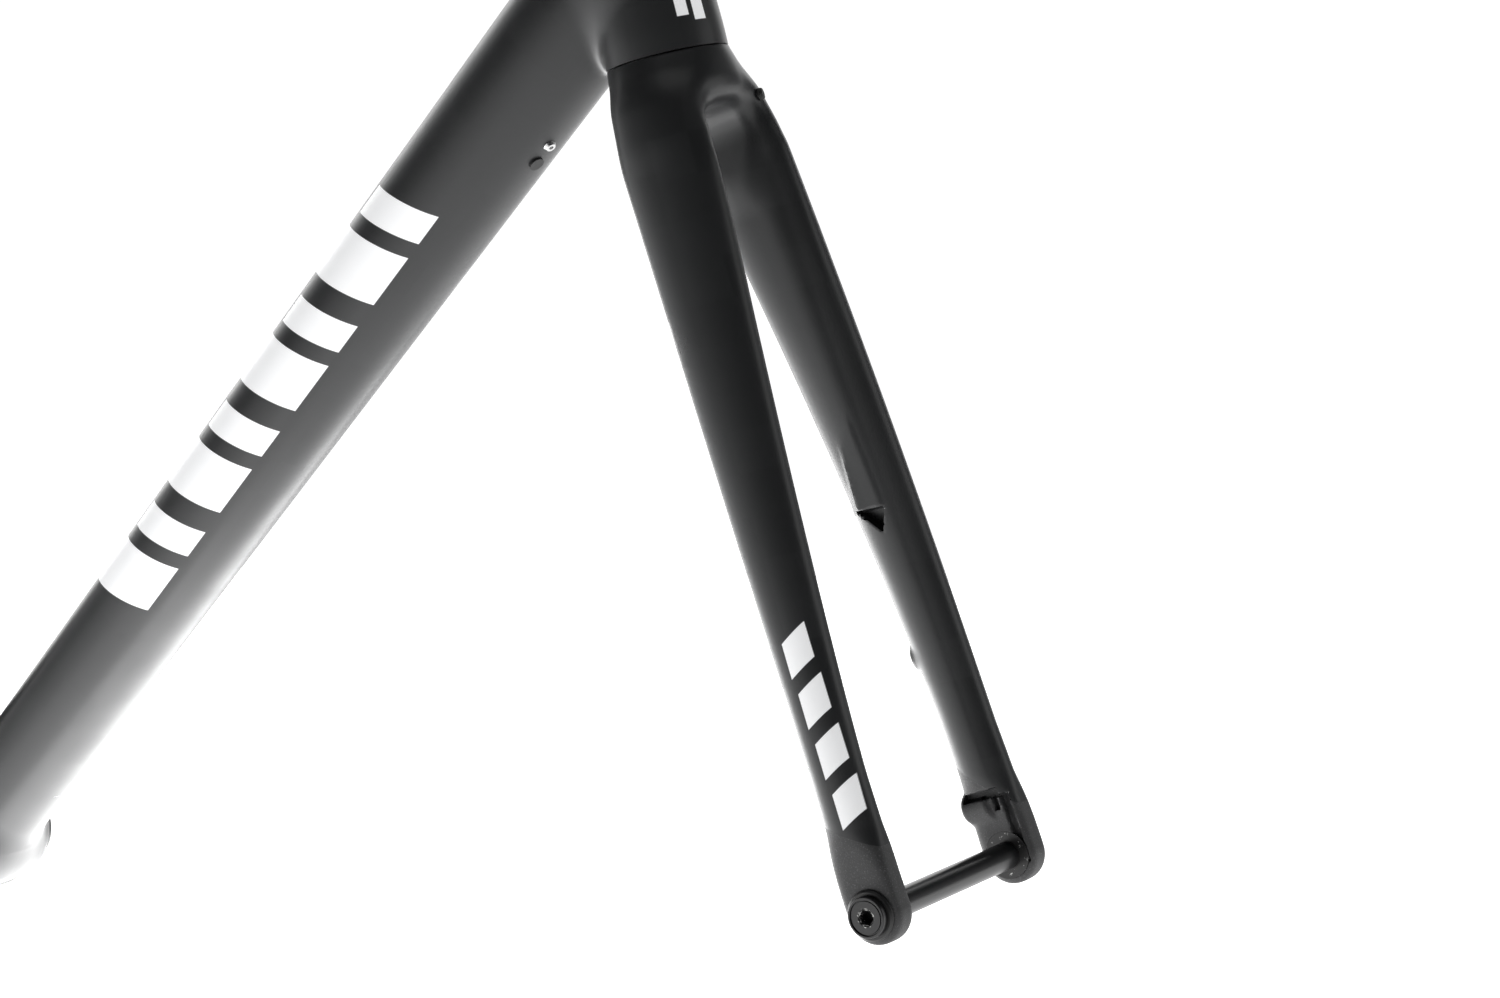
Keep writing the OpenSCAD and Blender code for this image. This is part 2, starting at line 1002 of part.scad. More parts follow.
leg_bow = 1.6;
function leg_u(t) = mix(leg_bow, rake, t / axle_t) + leg_bow * sin(180 * t / axle_t);
function leg_y(t) = front_half + 5.3 - 35 * pow(max(0, 1 - t / 345), 1.5);
function leg_half_depth(t) = t > 310 ? mix(leg_depth_low, tip_r, min(1, (t - 310) / 50))
    : leg_depth_low + (leg_depth_top - leg_depth_low) * pow(min(1, (310 - t) / 265), 1.25);
function leg_half_width(t) = leg_width_low
    + (leg_width_top - leg_width_low) * pow(max(0, 1 - (t - 45) / 300), 1.5);

// One leg section at the station t; s is +1 for the left leg, -1 for the right
function leg_ring(t, s, inset = 0) = ring(
    leg_u(t), s * leg_y(t), -t, leg_half_depth(t) - inset, leg_half_width(t) - inset, 2.3, 24
);

module leg_solid(s, from, to, steps, inset = 0) {
    loft([for (j = [0:steps]) leg_ring(mix(from, to, j / steps), s, inset)]);
}

// Crown core from the round seam to the full width above the legs
module crown_core() {
    end_t = 36;
    end_w = leg_y(end_t) + leg_half_width(end_t);
    steps = 6;
    loft([
        for (j = [0:steps])
            let (t = mix(-crown_top, end_t, j / steps), p = (t + crown_top) / (end_t + crown_top))
            ring(
                leg_u(end_t) * p, 0, -t, mix(crown_r, 24, p * p),
                mix(crown_r, end_w, sin(90 * p)), 2.1, 32
            )
    ]);
}

// Space for the tyre: it follows the wheel's round edge under the crown
module tyre_space() {
    translate([rake, 0, -axle_t])
        along_y()
            rotate_extrude($fn = 96)
                polygon([
                    [tyre_clear_r - 120, -19], [tyre_clear_r - 12, -18],
                    [tyre_clear_r - 3, -11], [tyre_clear_r, -5],
                    [tyre_clear_r, 5], [tyre_clear_r - 3, 11],
                    [tyre_clear_r - 12, 18], [tyre_clear_r - 120, 19]
                ]);
}

module fork_crown() {
    color(carbon)
        on_steering_axis()
            difference() {
                union() {
                    crown_core();
                    leg_solid(1, root_t, leg_top_t, 3);
                    leg_solid(-1, root_t, leg_top_t, 3);
                }
                tyre_space();
                translate([0, 0, steerer_low - 0.1])
                    cylinder(r = steerer_base_r + fit_gap, h = 40);
                crown_port_place()
                    cylinder(r = 1.8 + fit_gap, h = 10, center = true);
            }
}

// Front left of the crown, +Z pointing out of the hole
module crown_port_place() {
    translate([26.4, 18.5, -24])
        rotate([0, 0, 22])
            rotate([0, 86, 0])
                children();
}

module crown_port_plug() {
    color(rubber)
        on_steering_axis()
            crown_port_place() {
                translate([0, 0, 0.4])
                    cylinder(r1 = 2.8, r2 = 2.2, h = 2);
                translate([0, 0, -3])
                    cylinder(r = 1.8, h = 4);
            }
}

module steerer_tube() {
    color(carbon)
        on_steering_axis()
            rotate_extrude()
                polygon([
                    [12.4, steerer_low], [steerer_base_r, steerer_low],
                    [steerer_base_r, crown_top], [16.5, crown_top], [16.5, 1.6],
                    [steerer_base_r, 3], [steerer_base_r, 14], [steerer_r, 72],
                    [steerer_r, clamp_low - 1.6], [steerer_r - 0.3, clamp_low - 1.3],
                    [steerer_r - 0.3, clamp_low - 0.3], [steerer_r, clamp_low],
                    [steerer_r, steerer_top], [11.9, steerer_top], [11.9, 72], [12.4, 14]
                ]);
}

// Expander plug inside the steerer's top
module expander_sleeve() {
    color(alloy)
        on_steering_axis()
            translate([0, 0, steerer_top])
                rotate_extrude()
                    polygon([
                        [3.2, -13], [3.2, -9], [7, -9], [7, 1.5], [13.6, 1.5], [13.6, 0.02],
                        [11.85, 0.02], [11.85, -40], [10.2, -40], [8, -32], [8, -13]
                    ]);
}

module expander_wedge() {
    color(alloy)
        on_steering_axis()
            translate([0, 0, steerer_top])
                rotate_extrude()
                    polygon([
                        [3.05, -44], [10.1, -44], [10.1, -40], [7.9, -32], [3.05, -32]
                    ]);
}

module expander_bolt() {
    color(steel)
        on_steering_axis()
            translate([0, 0, steerer_top])
                difference() {
                    union() {
                        translate([0, 0, -46])
                            cylinder(r = 3, h = 38);
                        translate([0, 0, -8.98])
                            cylinder(r = 5, h = 6);
                    }
                    translate([0, 0, -6.5])
                        cylinder(r = 2.9, h = 6, $fn = 6);
                }
}

// Places a front brake boss: k = 0 upper, 1 lower; +Z points backwards out
brake_lean = 6.5;
module front_brake_place(k) {
    t = front_brake_t + k * front_brake_pitch * cos(brake_lean);
    face_u = leg_u(front_brake_t) - leg_half_depth(front_brake_t) - 1.2
        + k * front_brake_pitch * sin(brake_lean);
    translate([face_u, front_brake_y, -t])
        rotate([0, -90 - brake_lean, 0])
            children();
}

insert_r = 4;
insert_len = 10;

module brake_boss(k) {
    front_brake_place(k)
        translate([0, 0, -13])
            cylinder(r = 6.4, h = 13);
}

module brake_boss_hole(k) {
    front_brake_place(k)
        translate([0, 0, -insert_len - 0.1])
            cylinder(r = insert_r + fit_gap, h = 30);
}

module fork_leg(s) {
    difference() {
        leg_solid(s, leg_top_t, leg_low_t, 12);
        leg_solid(s, leg_top_t - 1, leg_low_t + 1, 12, 2);
    }
}

module fork_leg_left() {
    color(carbon)
        on_steering_axis()
            difference() {
                union() {
                    fork_leg(1);
                    brake_boss(0);
                }
                brake_boss_hole(0);
                // Brake hose exit in the inner face
                translate([20, leg_y(206) - 8, -204])
                    rotate([65, 0, 0])
                        cylinder(r = 3, h = 24, center = true);
            }
}

module fork_leg_right() {
    color(carbon)
        on_steering_axis()
            fork_leg(-1);
}

// Fork tip: leg section that turns into a flat, round-ended axle seat
tip_steps = 8;
function tip_ring(p, s) =
    let (
        end = axle_t + tip_r - 0.5,
        t = mix(leg_low_t, end, p),
        past = max(0, t - axle_t),
        depth = t < axle_t ? leg_half_depth(t) : sqrt(tip_r * tip_r - past * past),
        flat = min(1, (t - leg_low_t) / 22)
    )
    ring(
        mix(leg_u(t), rake, min(1, p * 1.5)), s * mix(leg_y(leg_low_t), front_half + 6.5, flat), -t,
        depth, mix(leg_half_width(leg_low_t), 6.5, flat), mix(2.3, 4, flat), 24
    );

module fork_tip(s) {
    difference() {
        loft([for (j = [0:tip_steps]) tip_ring(j / tip_steps, s)]);
        at_front_axle()
            cylinder(r = 8.05, h = 200, center = true);
        // Flat seat for the axle head or for the thread insert's flange
        at_front_axle()
            translate([0, 0, s * (front_half + 12.9)])
                translate([0, 0, s > 0 ? 0 : -20])
                    cylinder(r = 11.2, h = 20);
        at_front_axle()
            translate([0, 0, s > 0 ? front_half - 19 : -front_half - 1])
                cylinder(r = 10.6, h = 20);
    }
}

module at_front_axle() {
    translate([rake, 0, -axle_t])
        along_y()
            children();
}

module fork_tip_left() {
    color(carbon)
        on_steering_axis()
            difference() {
                union() {
                    fork_tip(1);
                    brake_boss(1);
                }
                brake_boss_hole(1);
            }
}

module fork_tip_right() {
    color(carbon)
        on_steering_axis()
            fork_tip(-1);
}

module front_brake_inserts() {
    color(alloy)
        on_steering_axis()
            for (k = [0:1])
                front_brake_place(k)
                    translate([0, 0, -insert_len])
                        difference() {
                            cylinder(r = insert_r, h = insert_len);
                            translate([0, 0, 1])
                                cylinder(r = brake_hole_r, h = insert_len);
                        }
}

// Threaded insert of the left tip, with a hub recess ring
module front_thread_insert() {
    color(alloy)
        on_steering_axis()
            at_front_axle()
                rotate_extrude()
                    polygon([
                        [axle_bore_r, front_half], [10.5, front_half],
                        [10.5, front_half + 0.9], [8, front_half + 0.95],
                        [8, front_half + 12.8], [axle_bore_r, front_half + 12.8]
                    ]);
}

module front_axle_bushing() {
    color(alloy)
        on_steering_axis()
            at_front_axle()
                mirror([0, 0, 1])
                    rotate_extrude()
                        polygon([
                            [axle_bore_r, front_half], [10.5, front_half],
                            [10.5, front_half + 0.9], [8, front_half + 0.95],
                            [8, front_half + 12.85], [axle_bore_r, front_half + 12.85]
                        ]);
}

front_head_y = front_half + 12.95;

module front_axle_washer() {
    color(rubber)
        on_steering_axis()
            translate([rake, -front_head_y, -axle_t])
                rotate([90, 0, 0])
                    axle_washer(10.8, washer_h);
}

module front_axle_shaft() {
    color(alloy)
        on_steering_axis()
            translate([rake, -front_head_y - washer_h - 0.02, -axle_t])
                along_y()
                    axle_shaft(front_head_y + washer_h + front_half + 11, 8.75, 3);
}

head_tube();
top_tube();
down_tube();
seat_tube();
bb_shell();
bb_thread_sleeve();
chainstay_left();
chainstay_right();
seatstay_left();
seatstay_right();
dropout_left();
dropout_right();
derailleur_hanger();
hanger_nut();
rear_axle_bushing();
seat_collar();
seat_collar_bolt();
down_tube_bottle_bosses();
seat_tube_bottle_bosses();
down_tube_port_plug();
down_tube_port_screw();
bb_port_cover();
bb_port_screw();
rear_brake_sleeves();
rear_hose_grommet();
lower_outer_race();
lower_inner_race();
lower_bearing_balls();
lower_bearing_cage();
lower_bearing_seals();
upper_outer_race();
upper_inner_race();
upper_bearing_balls();
upper_bearing_cage();
upper_bearing_seals();
crown_race();
compression_ring();
headset_top_cover();
headset_spacers();
steerer_tube();
expander_sleeve();
expander_wedge();
expander_bolt();
fork_crown();
crown_port_plug();
fork_leg_left();
fork_leg_right();
fork_tip_left();
fork_tip_right();
front_brake_inserts();
front_thread_insert();
front_axle_bushing();
front_axle_washer();
front_axle_shaft();
rear_axle_washer();
rear_axle_shaft();
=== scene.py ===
"""Looks of a carbon road disc frameset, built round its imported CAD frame.

The carbon skins are distance fields: every tube is an oval whose size changes along
its line, neighbours flow into each other with soft fillets, and the surface is meshed
piece by piece and cut where one piece ends. Lengths inside the fields are millimetres.
"""
import json
import math

import bmesh
import bpy
import numpy as np
import openvdb
from mathutils import Matrix, Vector


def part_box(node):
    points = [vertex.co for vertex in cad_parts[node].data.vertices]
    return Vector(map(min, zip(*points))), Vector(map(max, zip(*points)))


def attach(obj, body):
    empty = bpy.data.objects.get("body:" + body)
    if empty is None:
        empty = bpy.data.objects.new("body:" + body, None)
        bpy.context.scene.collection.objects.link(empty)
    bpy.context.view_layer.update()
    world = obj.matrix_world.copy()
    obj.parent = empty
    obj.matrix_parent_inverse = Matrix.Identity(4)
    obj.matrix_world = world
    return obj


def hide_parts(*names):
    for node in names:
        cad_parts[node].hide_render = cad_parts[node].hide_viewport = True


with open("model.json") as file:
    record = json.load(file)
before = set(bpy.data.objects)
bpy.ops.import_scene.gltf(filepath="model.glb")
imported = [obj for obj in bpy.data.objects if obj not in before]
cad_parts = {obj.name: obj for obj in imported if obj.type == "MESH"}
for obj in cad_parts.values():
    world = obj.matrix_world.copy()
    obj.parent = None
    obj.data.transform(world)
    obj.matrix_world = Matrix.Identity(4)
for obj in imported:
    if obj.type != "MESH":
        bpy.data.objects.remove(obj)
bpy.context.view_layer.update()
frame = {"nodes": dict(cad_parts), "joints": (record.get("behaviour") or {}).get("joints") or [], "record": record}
MM = 0.001
JOINT = {j["name"]: j for j in frame["joints"]}
MOUNT = {m["name"]: m for m in frame["record"]["mounts"]}


def unit(v):
    v = np.array(v, float)
    return v / np.linalg.norm(v)


class Axes:
    """A place in the frame: its z runs along a tube, y points to the rider's left."""

    def __init__(self, origin, z):
        self.o = np.array(origin, float)
        self.z = unit(z)
        self.x = np.array([self.z[2], 0.0, -self.z[0]])
        self.y = np.array([0.0, 1.0, 0.0])
        self.m = np.stack([self.x, self.y, self.z], 1)

    def local(self, p):
        return (p - self.o) @ self.m

    def world(self, q):
        return np.asarray(q, float) @ self.m.T + self.o


# ---------- places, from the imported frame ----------

SEAM = np.array(JOINT["steer"]["pos_m"]) / MM
STEER = Axes(SEAM, JOINT["steer"]["axis"])
AXLE = np.array(JOINT["front_axle_turn"]["pos_m"]) / MM
AXLE_U, _, AXLE_H = STEER.local(AXLE)
AXLE_T = -AXLE_H
REAR = np.array(JOINT["rear_axle_turn"]["pos_m"]) / MM
SEAT = Axes([0, 0, 0], MOUNT["seatpost_bore"]["axis"])
# Heights at which the tubes' middle lines meet the steering axis and the seat tube's line
DOWN_AT_HEAD, TOP_AT_HEAD, TOP_AT_SEAT = 53.8, 110.0, 468.0
DOWN_END = STEER.world([0, 0, DOWN_AT_HEAD])
DOWN = Axes([0, 0, 0], DOWN_END)
DOWN_LEN = float(np.linalg.norm(DOWN_END))
TOP_REAR = SEAT.world([0, 0, TOP_AT_SEAT])
TOP_FRONT = STEER.world([0, 0, TOP_AT_HEAD])
TOP = Axes(TOP_REAR, TOP_FRONT - TOP_REAR)
TOP_LEN = float(np.linalg.norm(TOP_FRONT - TOP_REAR))
WORLD = Axes([0, 0, 0], [0, 0, 1])
HEAD_LEN = 136.0
SEAT_LEN = 505.0

# ---------- field arithmetic ----------


def soft_min(a, b, k):
    h = np.clip(0.5 + 0.5 * (b - a) / k, 0, 1)
    return b + (a - b) * h - k * h * (1 - h)


def soft_max(a, b, k):
    return -soft_min(-a, -b, k)


def oval(x, y, a, b, e):
    """Distance outside an oval with half sizes a and b; e squares it up."""
    g = (np.abs(x / a) ** e + np.abs(y / b) ** e + 1e-9) ** (1 / e)
    return np.hypot(x, y) * (1 - 1 / g) + np.minimum(0, g - 1) * 0.2


def ramp(x, low, high):
    p = np.clip((x - low) / (high - low), 0, 1)
    return p * p * (3 - 2 * p)


def table(xs, ys, blur=8):
    """A curve through the points with its corners rounded off."""
    x = np.arange(xs[0] - 40, xs[-1] + 40, 1.0)
    y = np.interp(x, xs, ys)
    kernel = np.hanning(2 * blur + 3)
    y = np.convolve(np.pad(y, blur + 1, mode="edge"), kernel / kernel.sum(), "valid")
    return lambda q: np.interp(q, x, y)


def mix(a, b, p):
    return a + (b - a) * p


# ---------- frame ----------

# Each table gives places along a tube and the tube's half size there
HEAD_R = table([0, 9, 34, 96, 136], [26.7, 26.7, 25.4, 24.4, 24.4])
DOWN_H = table([0, DOWN_LEN], [24.7, 29.3])
DOWN_W = table([0, DOWN_LEN / 2, DOWN_LEN - 60, DOWN_LEN], [24.7, 26.2, 26.8, 25.3], 30)
TOP_H = table([0, TOP_LEN], [15.0, 19.0])
TOP_W = table([0, TOP_LEN], [14.5, 20.0])
SEAT_R = table([0, SEAT_LEN], [19.0, 16.9])
BB_R = table([0, 25.4, 30, 40], [26.5, 26.5, 20.9, 20.8], 2)
STAY_FRONT, STAY_REAR = -22.0, -384.0
STAY_TOP = np.array([-118.0, 17.0, 388.0])
STAY_FOOT = np.array([-393.0, 75.0, 90.0])
STAY_RISE = STAY_TOP - STAY_FOOT
STAY_LINE = Axes([STAY_FOOT[0], 0, STAY_FOOT[2]], [STAY_RISE[0], 0, STAY_RISE[2]])
STAY_RUN = math.hypot(STAY_RISE[0], STAY_RISE[2])
DROPOUT_R, DROPOUT_HALF = 15.0, 4.0


def head_field(p):
    q = STEER.local(p)
    return np.hypot(q[:, 0], q[:, 1]) - HEAD_R(q[:, 2])


def down_field(p):
    q = DOWN.local(p)
    d = oval(q[:, 0], q[:, 1], DOWN_H(q[:, 2]), DOWN_W(q[:, 2]), 2.05)
    return soft_max(soft_max(d, q[:, 2] - DOWN_LEN, 6), -q[:, 2], 6)


def top_field(p):
    q = TOP.local(p)
    d = oval(q[:, 0], q[:, 1], TOP_H(q[:, 2]), TOP_W(q[:, 2]), 2.1)
    return soft_max(soft_max(d, q[:, 2] - TOP_LEN, 6), -q[:, 2], 6)


def seat_field(p):
    q = SEAT.local(p)
    return np.maximum(np.hypot(q[:, 0], q[:, 1]) - SEAT_R(q[:, 2]), -q[:, 2])


def bb_field(p):
    return np.hypot(p[:, 0], p[:, 2]) - BB_R(np.abs(p[:, 1]))


def chainstay_field(p):
    y = np.abs(p[:, 1])
    s = np.clip((p[:, 0] - STAY_FRONT) / (STAY_REAR - STAY_FRONT), 0, 1.03)
    mid_y = 21 + 54 * s ** 1.15
    half_w = 6.6 + 0.9 * np.sin(math.pi * s) - 2.6 * s ** 6
    d = oval(p[:, 2] - mix(-2, 66, s), y - mid_y, mix(17, 10, s), half_w, 2.5)
    return soft_max(soft_max(d, STAY_REAR - 6 - p[:, 0], 5), p[:, 0] - STAY_FRONT, 4)


def seatstay_field(p):
    y = np.abs(p[:, 1])
    q = STAY_LINE.local(p)
    s = np.clip(1 - q[:, 2] / STAY_RUN, 0, 1.05)
    d = oval(q[:, 0], y - mix(STAY_TOP[1], STAY_FOOT[1], s), mix(9.5, 7.5, s),
             mix(7, 4, s * s), 2.4)
    return soft_max(soft_max(d, -q[:, 2] - 12, 4), q[:, 2] - STAY_RUN, 4)


def dropout_field(p):
    y = np.abs(p[:, 1])
    d = np.hypot(p[:, 0] - REAR[0], p[:, 2] - REAR[2]) - DROPOUT_R
    return soft_max(d, np.abs(y - STAY_FOOT[1]) - DROPOUT_HALF, 2)


def frame_field(p):
    h = STEER.local(p)[:, 2]
    k = mix(7, 17, ramp(h, 2, 55))
    d = soft_min(head_field(p), down_field(p), k)
    d = soft_min(d, top_field(p), 13)
    d = soft_min(d, soft_min(seat_field(p), bb_field(p), 9), 13)
    d = soft_min(d, soft_min(chainstay_field(p), seatstay_field(p), 10), 9)
    return soft_min(d, dropout_field(p), 7)


# ---------- fork ----------

# t is the distance below the headset seam, u the distance ahead of the steering axis
LEG_TOP, LEG_LOW = 52.0, 334.0
TIP_R = 13.2
TIP_MIDDLE, TIP_HALF = 56.5, 6.5
CROWN_TOP = -0.8
CROWN_START, CROWN_CORE, CROWN_END = 0.8, 36.0, 48.0
CROWN_R = 26.7
TYRE_HALF, TYRE_R = 18.2, 343.0
BRAKE_T, BRAKE_PITCH, BRAKE_Y, BRAKE_LEAN = 276.0, 70, 53, math.radians(6.5)
PAD_R, PAD_RISE = 6.4, 1.2


def leg_u(t):
    return 1.6 + (AXLE_U - 1.6) * t / AXLE_T + 1.6 * np.sin(math.pi * t / AXLE_T)


def crown_wide(t):
    """Half width of the crown: flares at once and runs out along the legs' outer faces."""
    run = CROWN_END - CROWN_START
    p = np.clip((t - CROWN_START) / run, 0, 1)
    end = leg_spread(CROWN_END) + leg_width(CROWN_END)
    return (mix(CROWN_R, end, p * p * (3 - 2 * p)) + run * 0.56 * p * (1 - p) ** 2
            - run * 0.12 * p * p * (1 - p))


def leg_spread(t):
    return 55.3 - 35 * np.maximum(0, 1 - t / 345) ** 1.5


def leg_y(t):
    return np.where(t < CROWN_END, crown_wide(t) - leg_width(t), leg_spread(t))


def leg_depth(t):
    upper = 12.2 + 11 * np.clip((310 - t) / 265, 0, 1) ** 1.25 - 4 * ramp(-t, -50, -4)
    return np.where(t > 310, mix(12.2, TIP_R, np.clip((t - 310) / 50, 0, 1)), upper)


def leg_width(t):
    return 8.4 + 4.6 * np.clip(1 - (t - 45) / 300, 0, 1) ** 1.5


def leg_field(u, y, t):
    """Both legs with their tips; y is the distance from the middle plane."""
    flat = ramp(t, LEG_LOW - 4, LEG_LOW + 22)
    along = np.where(t > AXLE_T, np.hypot(u - AXLE_U, t - AXLE_T),
                     u - leg_u(np.minimum(t, AXLE_T)))
    mid_y = mix(leg_y(t), TIP_MIDDLE, flat)
    e = mix(2.2, 5.0, flat)
    return oval(along, y - mid_y, leg_depth(t), mix(leg_width(t), TIP_HALF, flat), e)


def crown_field(u, y, t):
    """The crown's core, which thins out between the legs."""
    p = np.clip((t - CROWN_START) / (CROWN_CORE - CROWN_START), 0, 1)
    late = ramp(t, 34, 66)
    wide = crown_wide(t) - 3.5 * ramp(t, 10, 36) - 8 * late
    deep = mix(CROWN_R, 24.0, p * p) - 9 * late
    d = oval(u - leg_u(CROWN_CORE) * p, y, deep, wide, mix(2.0, 2.45, p))
    return soft_max(d, t - 70, 14)


def tyre_field(u, y, t):
    """Room for the tyre between the legs."""
    return soft_max(y - TYRE_HALF, np.hypot(u - AXLE_U, t - AXLE_T) - TYRE_R, 16)


def boss_fields(u, y, t):
    """The two pads behind the left leg that carry the brake inserts."""
    cos, sin = math.cos(BRAKE_LEAN), math.sin(BRAKE_LEAN)
    face = float(leg_u(BRAKE_T) - leg_depth(np.array(BRAKE_T))) - PAD_RISE
    out = None
    for k in (0, BRAKE_PITCH):
        du = u - (face + k * sin)
        dt = t - (BRAKE_T + k * cos)
        back = du * cos - dt * sin
        up = dt * cos + du * sin
        d = soft_max(np.hypot(up, y - BRAKE_Y) - PAD_R, np.abs(back - 6.5) - 6.5, 1.6)
        out = d if out is None else np.minimum(out, d)
    return out


def hose_pocket(d, u, y, t):
    """Adds a flat panel with a creased rear edge to the left leg's inner face, ends it in
    a lip, and sinks a recess below the lip."""
    du, width, depth_in = u - leg_u(t), leg_width(t), 7
    dy = y - leg_y(t)
    lift = 1.1 * ramp(t, 150, 206)
    panel = -dy - width - lift * np.clip((5 - du) / 13, 0, 1.1)
    crease = mix(4.5, 8.9, (t - 176) / 33)
    rear = -0.77 * (du + crease) - 0.64 * (dy + width + lift)
    hood = soft_max(panel, rear, mix(14, 0.4, ramp(t, 158, 184)))
    hood = soft_max(hood, np.maximum(t - 208.6 + 0.13 * (du + 8), 150 - t), 0.5)
    hood = soft_max(hood, np.maximum(du - 5, dy - 2), 3)
    d = soft_min(d, hood, 1.0)
    behind = t - 209.5 - 1.05 * (du + 9.5)
    ahead = t - 209 + 2.2 * (du - 3.6)
    pit = np.maximum(207.5 - t, np.maximum(behind, ahead))
    left_only = 5 - y
    pit = np.maximum(np.maximum(pit * 0.6, dy + width - depth_in), left_only)
    return soft_max(d, -pit, 0.5)


def tip_marks(u, y, t):
    """The left tip's inner face has a groove, a small slot and a channel along its edge."""
    groove = np.maximum(np.abs(t - 340 + (u - 38) * 0.08) - 1.9, np.abs(u - 39.5) - 9.0)
    slot = np.maximum(np.abs(t - 344) - 3.0, np.abs(u - 46.2) - 1.3)
    channel = np.maximum(np.abs(u - leg_u(t) - 8.2) - 1.9, np.abs(t - 356) - 15.5)
    marks = np.minimum(np.minimum(groove, slot), channel)
    return np.maximum(marks, np.abs(y - 48.5) - 4.2)


def fork_field(p):
    q = STEER.local(p)
    u, y, t = q[:, 0], q[:, 1], -q[:, 2]
    side = np.abs(y)
    legs = soft_max(leg_field(u, side, t), 14 - t, 10)
    d = soft_min(crown_field(u, y, t), legs, 8)
    d = soft_max(d, -tyre_field(u, side, t), 12)
    d = soft_min(d, boss_fields(u, y, t), 2.5)
    d = hose_pocket(d, u, y, t)
    return soft_max(d, -tip_marks(u, y, t), 0.7)


# ---------- meshing ----------


def gradient(field, p, reach=0.25):
    g = np.empty_like(p)
    for i in range(3):
        step = np.zeros(3)
        step[i] = reach
        g[:, i] = (field(p + step) - field(p - step)) / (2 * reach)
    return g


def surface(field, axes, low, high, step):
    """Points and quads of the field's zero surface inside a box of the local axes."""
    sizes = [int(math.ceil((b - a) / step)) + 1 for a, b in zip(low, high)]
    lines = [low[i] + step * np.arange(sizes[i]) for i in range(3)]
    grid_points = np.stack(np.meshgrid(*lines, indexing="ij"), -1).reshape(-1, 3)
    values = field(axes.world(grid_points)).reshape(sizes).astype(np.float32)
    grid = openvdb.FloatGrid(float(values.max()) + 1)
    grid.copyFromArray(values)
    points, quads = grid.convertToQuads(0.0)
    p = axes.world(np.array(points, float) * step + np.array(low))
    for _ in range(3):
        g = gradient(field, p)
        size = np.maximum((g * g).sum(1), 0.05)
        move = -(field(p) / size)[:, None] * g
        length = np.linalg.norm(move, axis=1)
        move *= np.minimum(1, 0.8 * step / np.maximum(length, 1e-6))[:, None]
        p = p + move
    quads = np.array(quads)
    a, b, c = (p[quads[:, i]] for i in range(3))
    facing = (np.cross(b - a, c - a) * gradient(field, a)).sum(1)
    if np.median(facing) < 0:
        quads = quads[:, ::-1]
    return p, quads


def cut(bm, axes, index, value, keep):
    """Cuts the mesh by a plane of the axes and closes it; keep is the side that stays."""
    normal = axes.m[:, index] * -keep
    point = axes.o + axes.m[:, index] * value
    result = bmesh.ops.bisect_plane(
        bm, geom=bm.verts[:] + bm.edges[:] + bm.faces[:], dist=1e-4,
        plane_co=Vector(point), plane_no=Vector(normal), clear_outer=True)
    edges = [g for g in result["geom_cut"]
             if isinstance(g, bmesh.types.BMEdge) and len(g.link_faces) == 1]
    if edges:
        bmesh.ops.triangle_fill(bm, edges=edges, use_dissolve=True, use_beauty=True,
                                normal=Vector(normal))


def lathe_mesh(profile, axes, turns=64):
    """Vertices and faces of a profile of (radius, height) turned round the axes' z.
    The profile is a closed loop; radius 0 meets the axis."""
    verts, faces = [], []
    n = len(profile)
    for i in range(turns):
        a = 2 * math.pi * i / turns
        for r, z in profile:
            verts.append([r * math.cos(a), r * math.sin(a), z])
    for i in range(turns):
        k = (i + 1) % turns
        for j in range(n):
            m = (j + 1) % n
            quad = [i * n + j, k * n + j, k * n + m, i * n + m]
            if profile[j][0] < 1e-6 and profile[m][0] < 1e-6:
                continue
            if profile[j][0] < 1e-6:
                quad = [i * n + j, k * n + m, i * n + m]
            elif profile[m][0] < 1e-6:
                quad = [i * n + j, k * n + j, i * n + m]
            faces.append(quad)
    return axes.world(np.array(verts)), faces


def y_axes(origin, sign=1):
    """Axes whose z runs along the frame's Y."""
    a = Axes(origin, [0, 0, 1])
    a.x, a.y, a.z = (np.array(v, float) for v in ((1, 0, 0), (0, 0, -sign), (0, sign, 0)))
    a.m = np.stack([a.x, a.y, a.z], 1)
    return a


def aim_axes(origin, z, side=(0, 1, 0)):
    a = Axes(origin, [0, 0, 1])
    a.z = unit(z)
    a.x = unit(np.cross(side, a.z))
    a.y = np.cross(a.z, a.x)
    a.m = np.stack([a.x, a.y, a.z], 1)
    return a


def mesh_object(name, verts, faces):
    mesh = bpy.data.meshes.new(name)
    points = [tuple(v) for v in np.asarray(verts) * MM]
    mesh.from_pydata(points, [], [tuple(map(int, f)) for f in faces])
    bm = bmesh.new()
    bm.from_mesh(mesh)
    bmesh.ops.remove_doubles(bm, verts=bm.verts[:], dist=1e-7)
    bmesh.ops.recalc_face_normals(bm, faces=bm.faces[:])
    bm.to_mesh(mesh)
    bm.free()
    obj = bpy.data.objects.new(name, mesh)
    bpy.context.scene.collection.objects.link(obj)
    return obj


def drill(obj, cutters):
    """Takes turned cutters out of the piece."""
    verts, faces = [], []
    for v, f in cutters:
        faces += [[i + len(verts) for i in face] for face in f]
        verts += list(v)
    tool = mesh_object("tool", verts, faces)
    mod = obj.modifiers.new("drill", "BOOLEAN")
    mod.operation = "DIFFERENCE"
    mod.solver = "EXACT"
    mod.object = tool
    bpy.context.view_layer.update()
    graph = bpy.context.evaluated_depsgraph_get()
    got = bpy.data.meshes.new_from_object(obj.evaluated_get(graph))
    obj.modifiers.remove(mod)
    old = obj.data
    obj.data = got
    bpy.data.meshes.remove(old)
    bpy.data.objects.remove(tool)


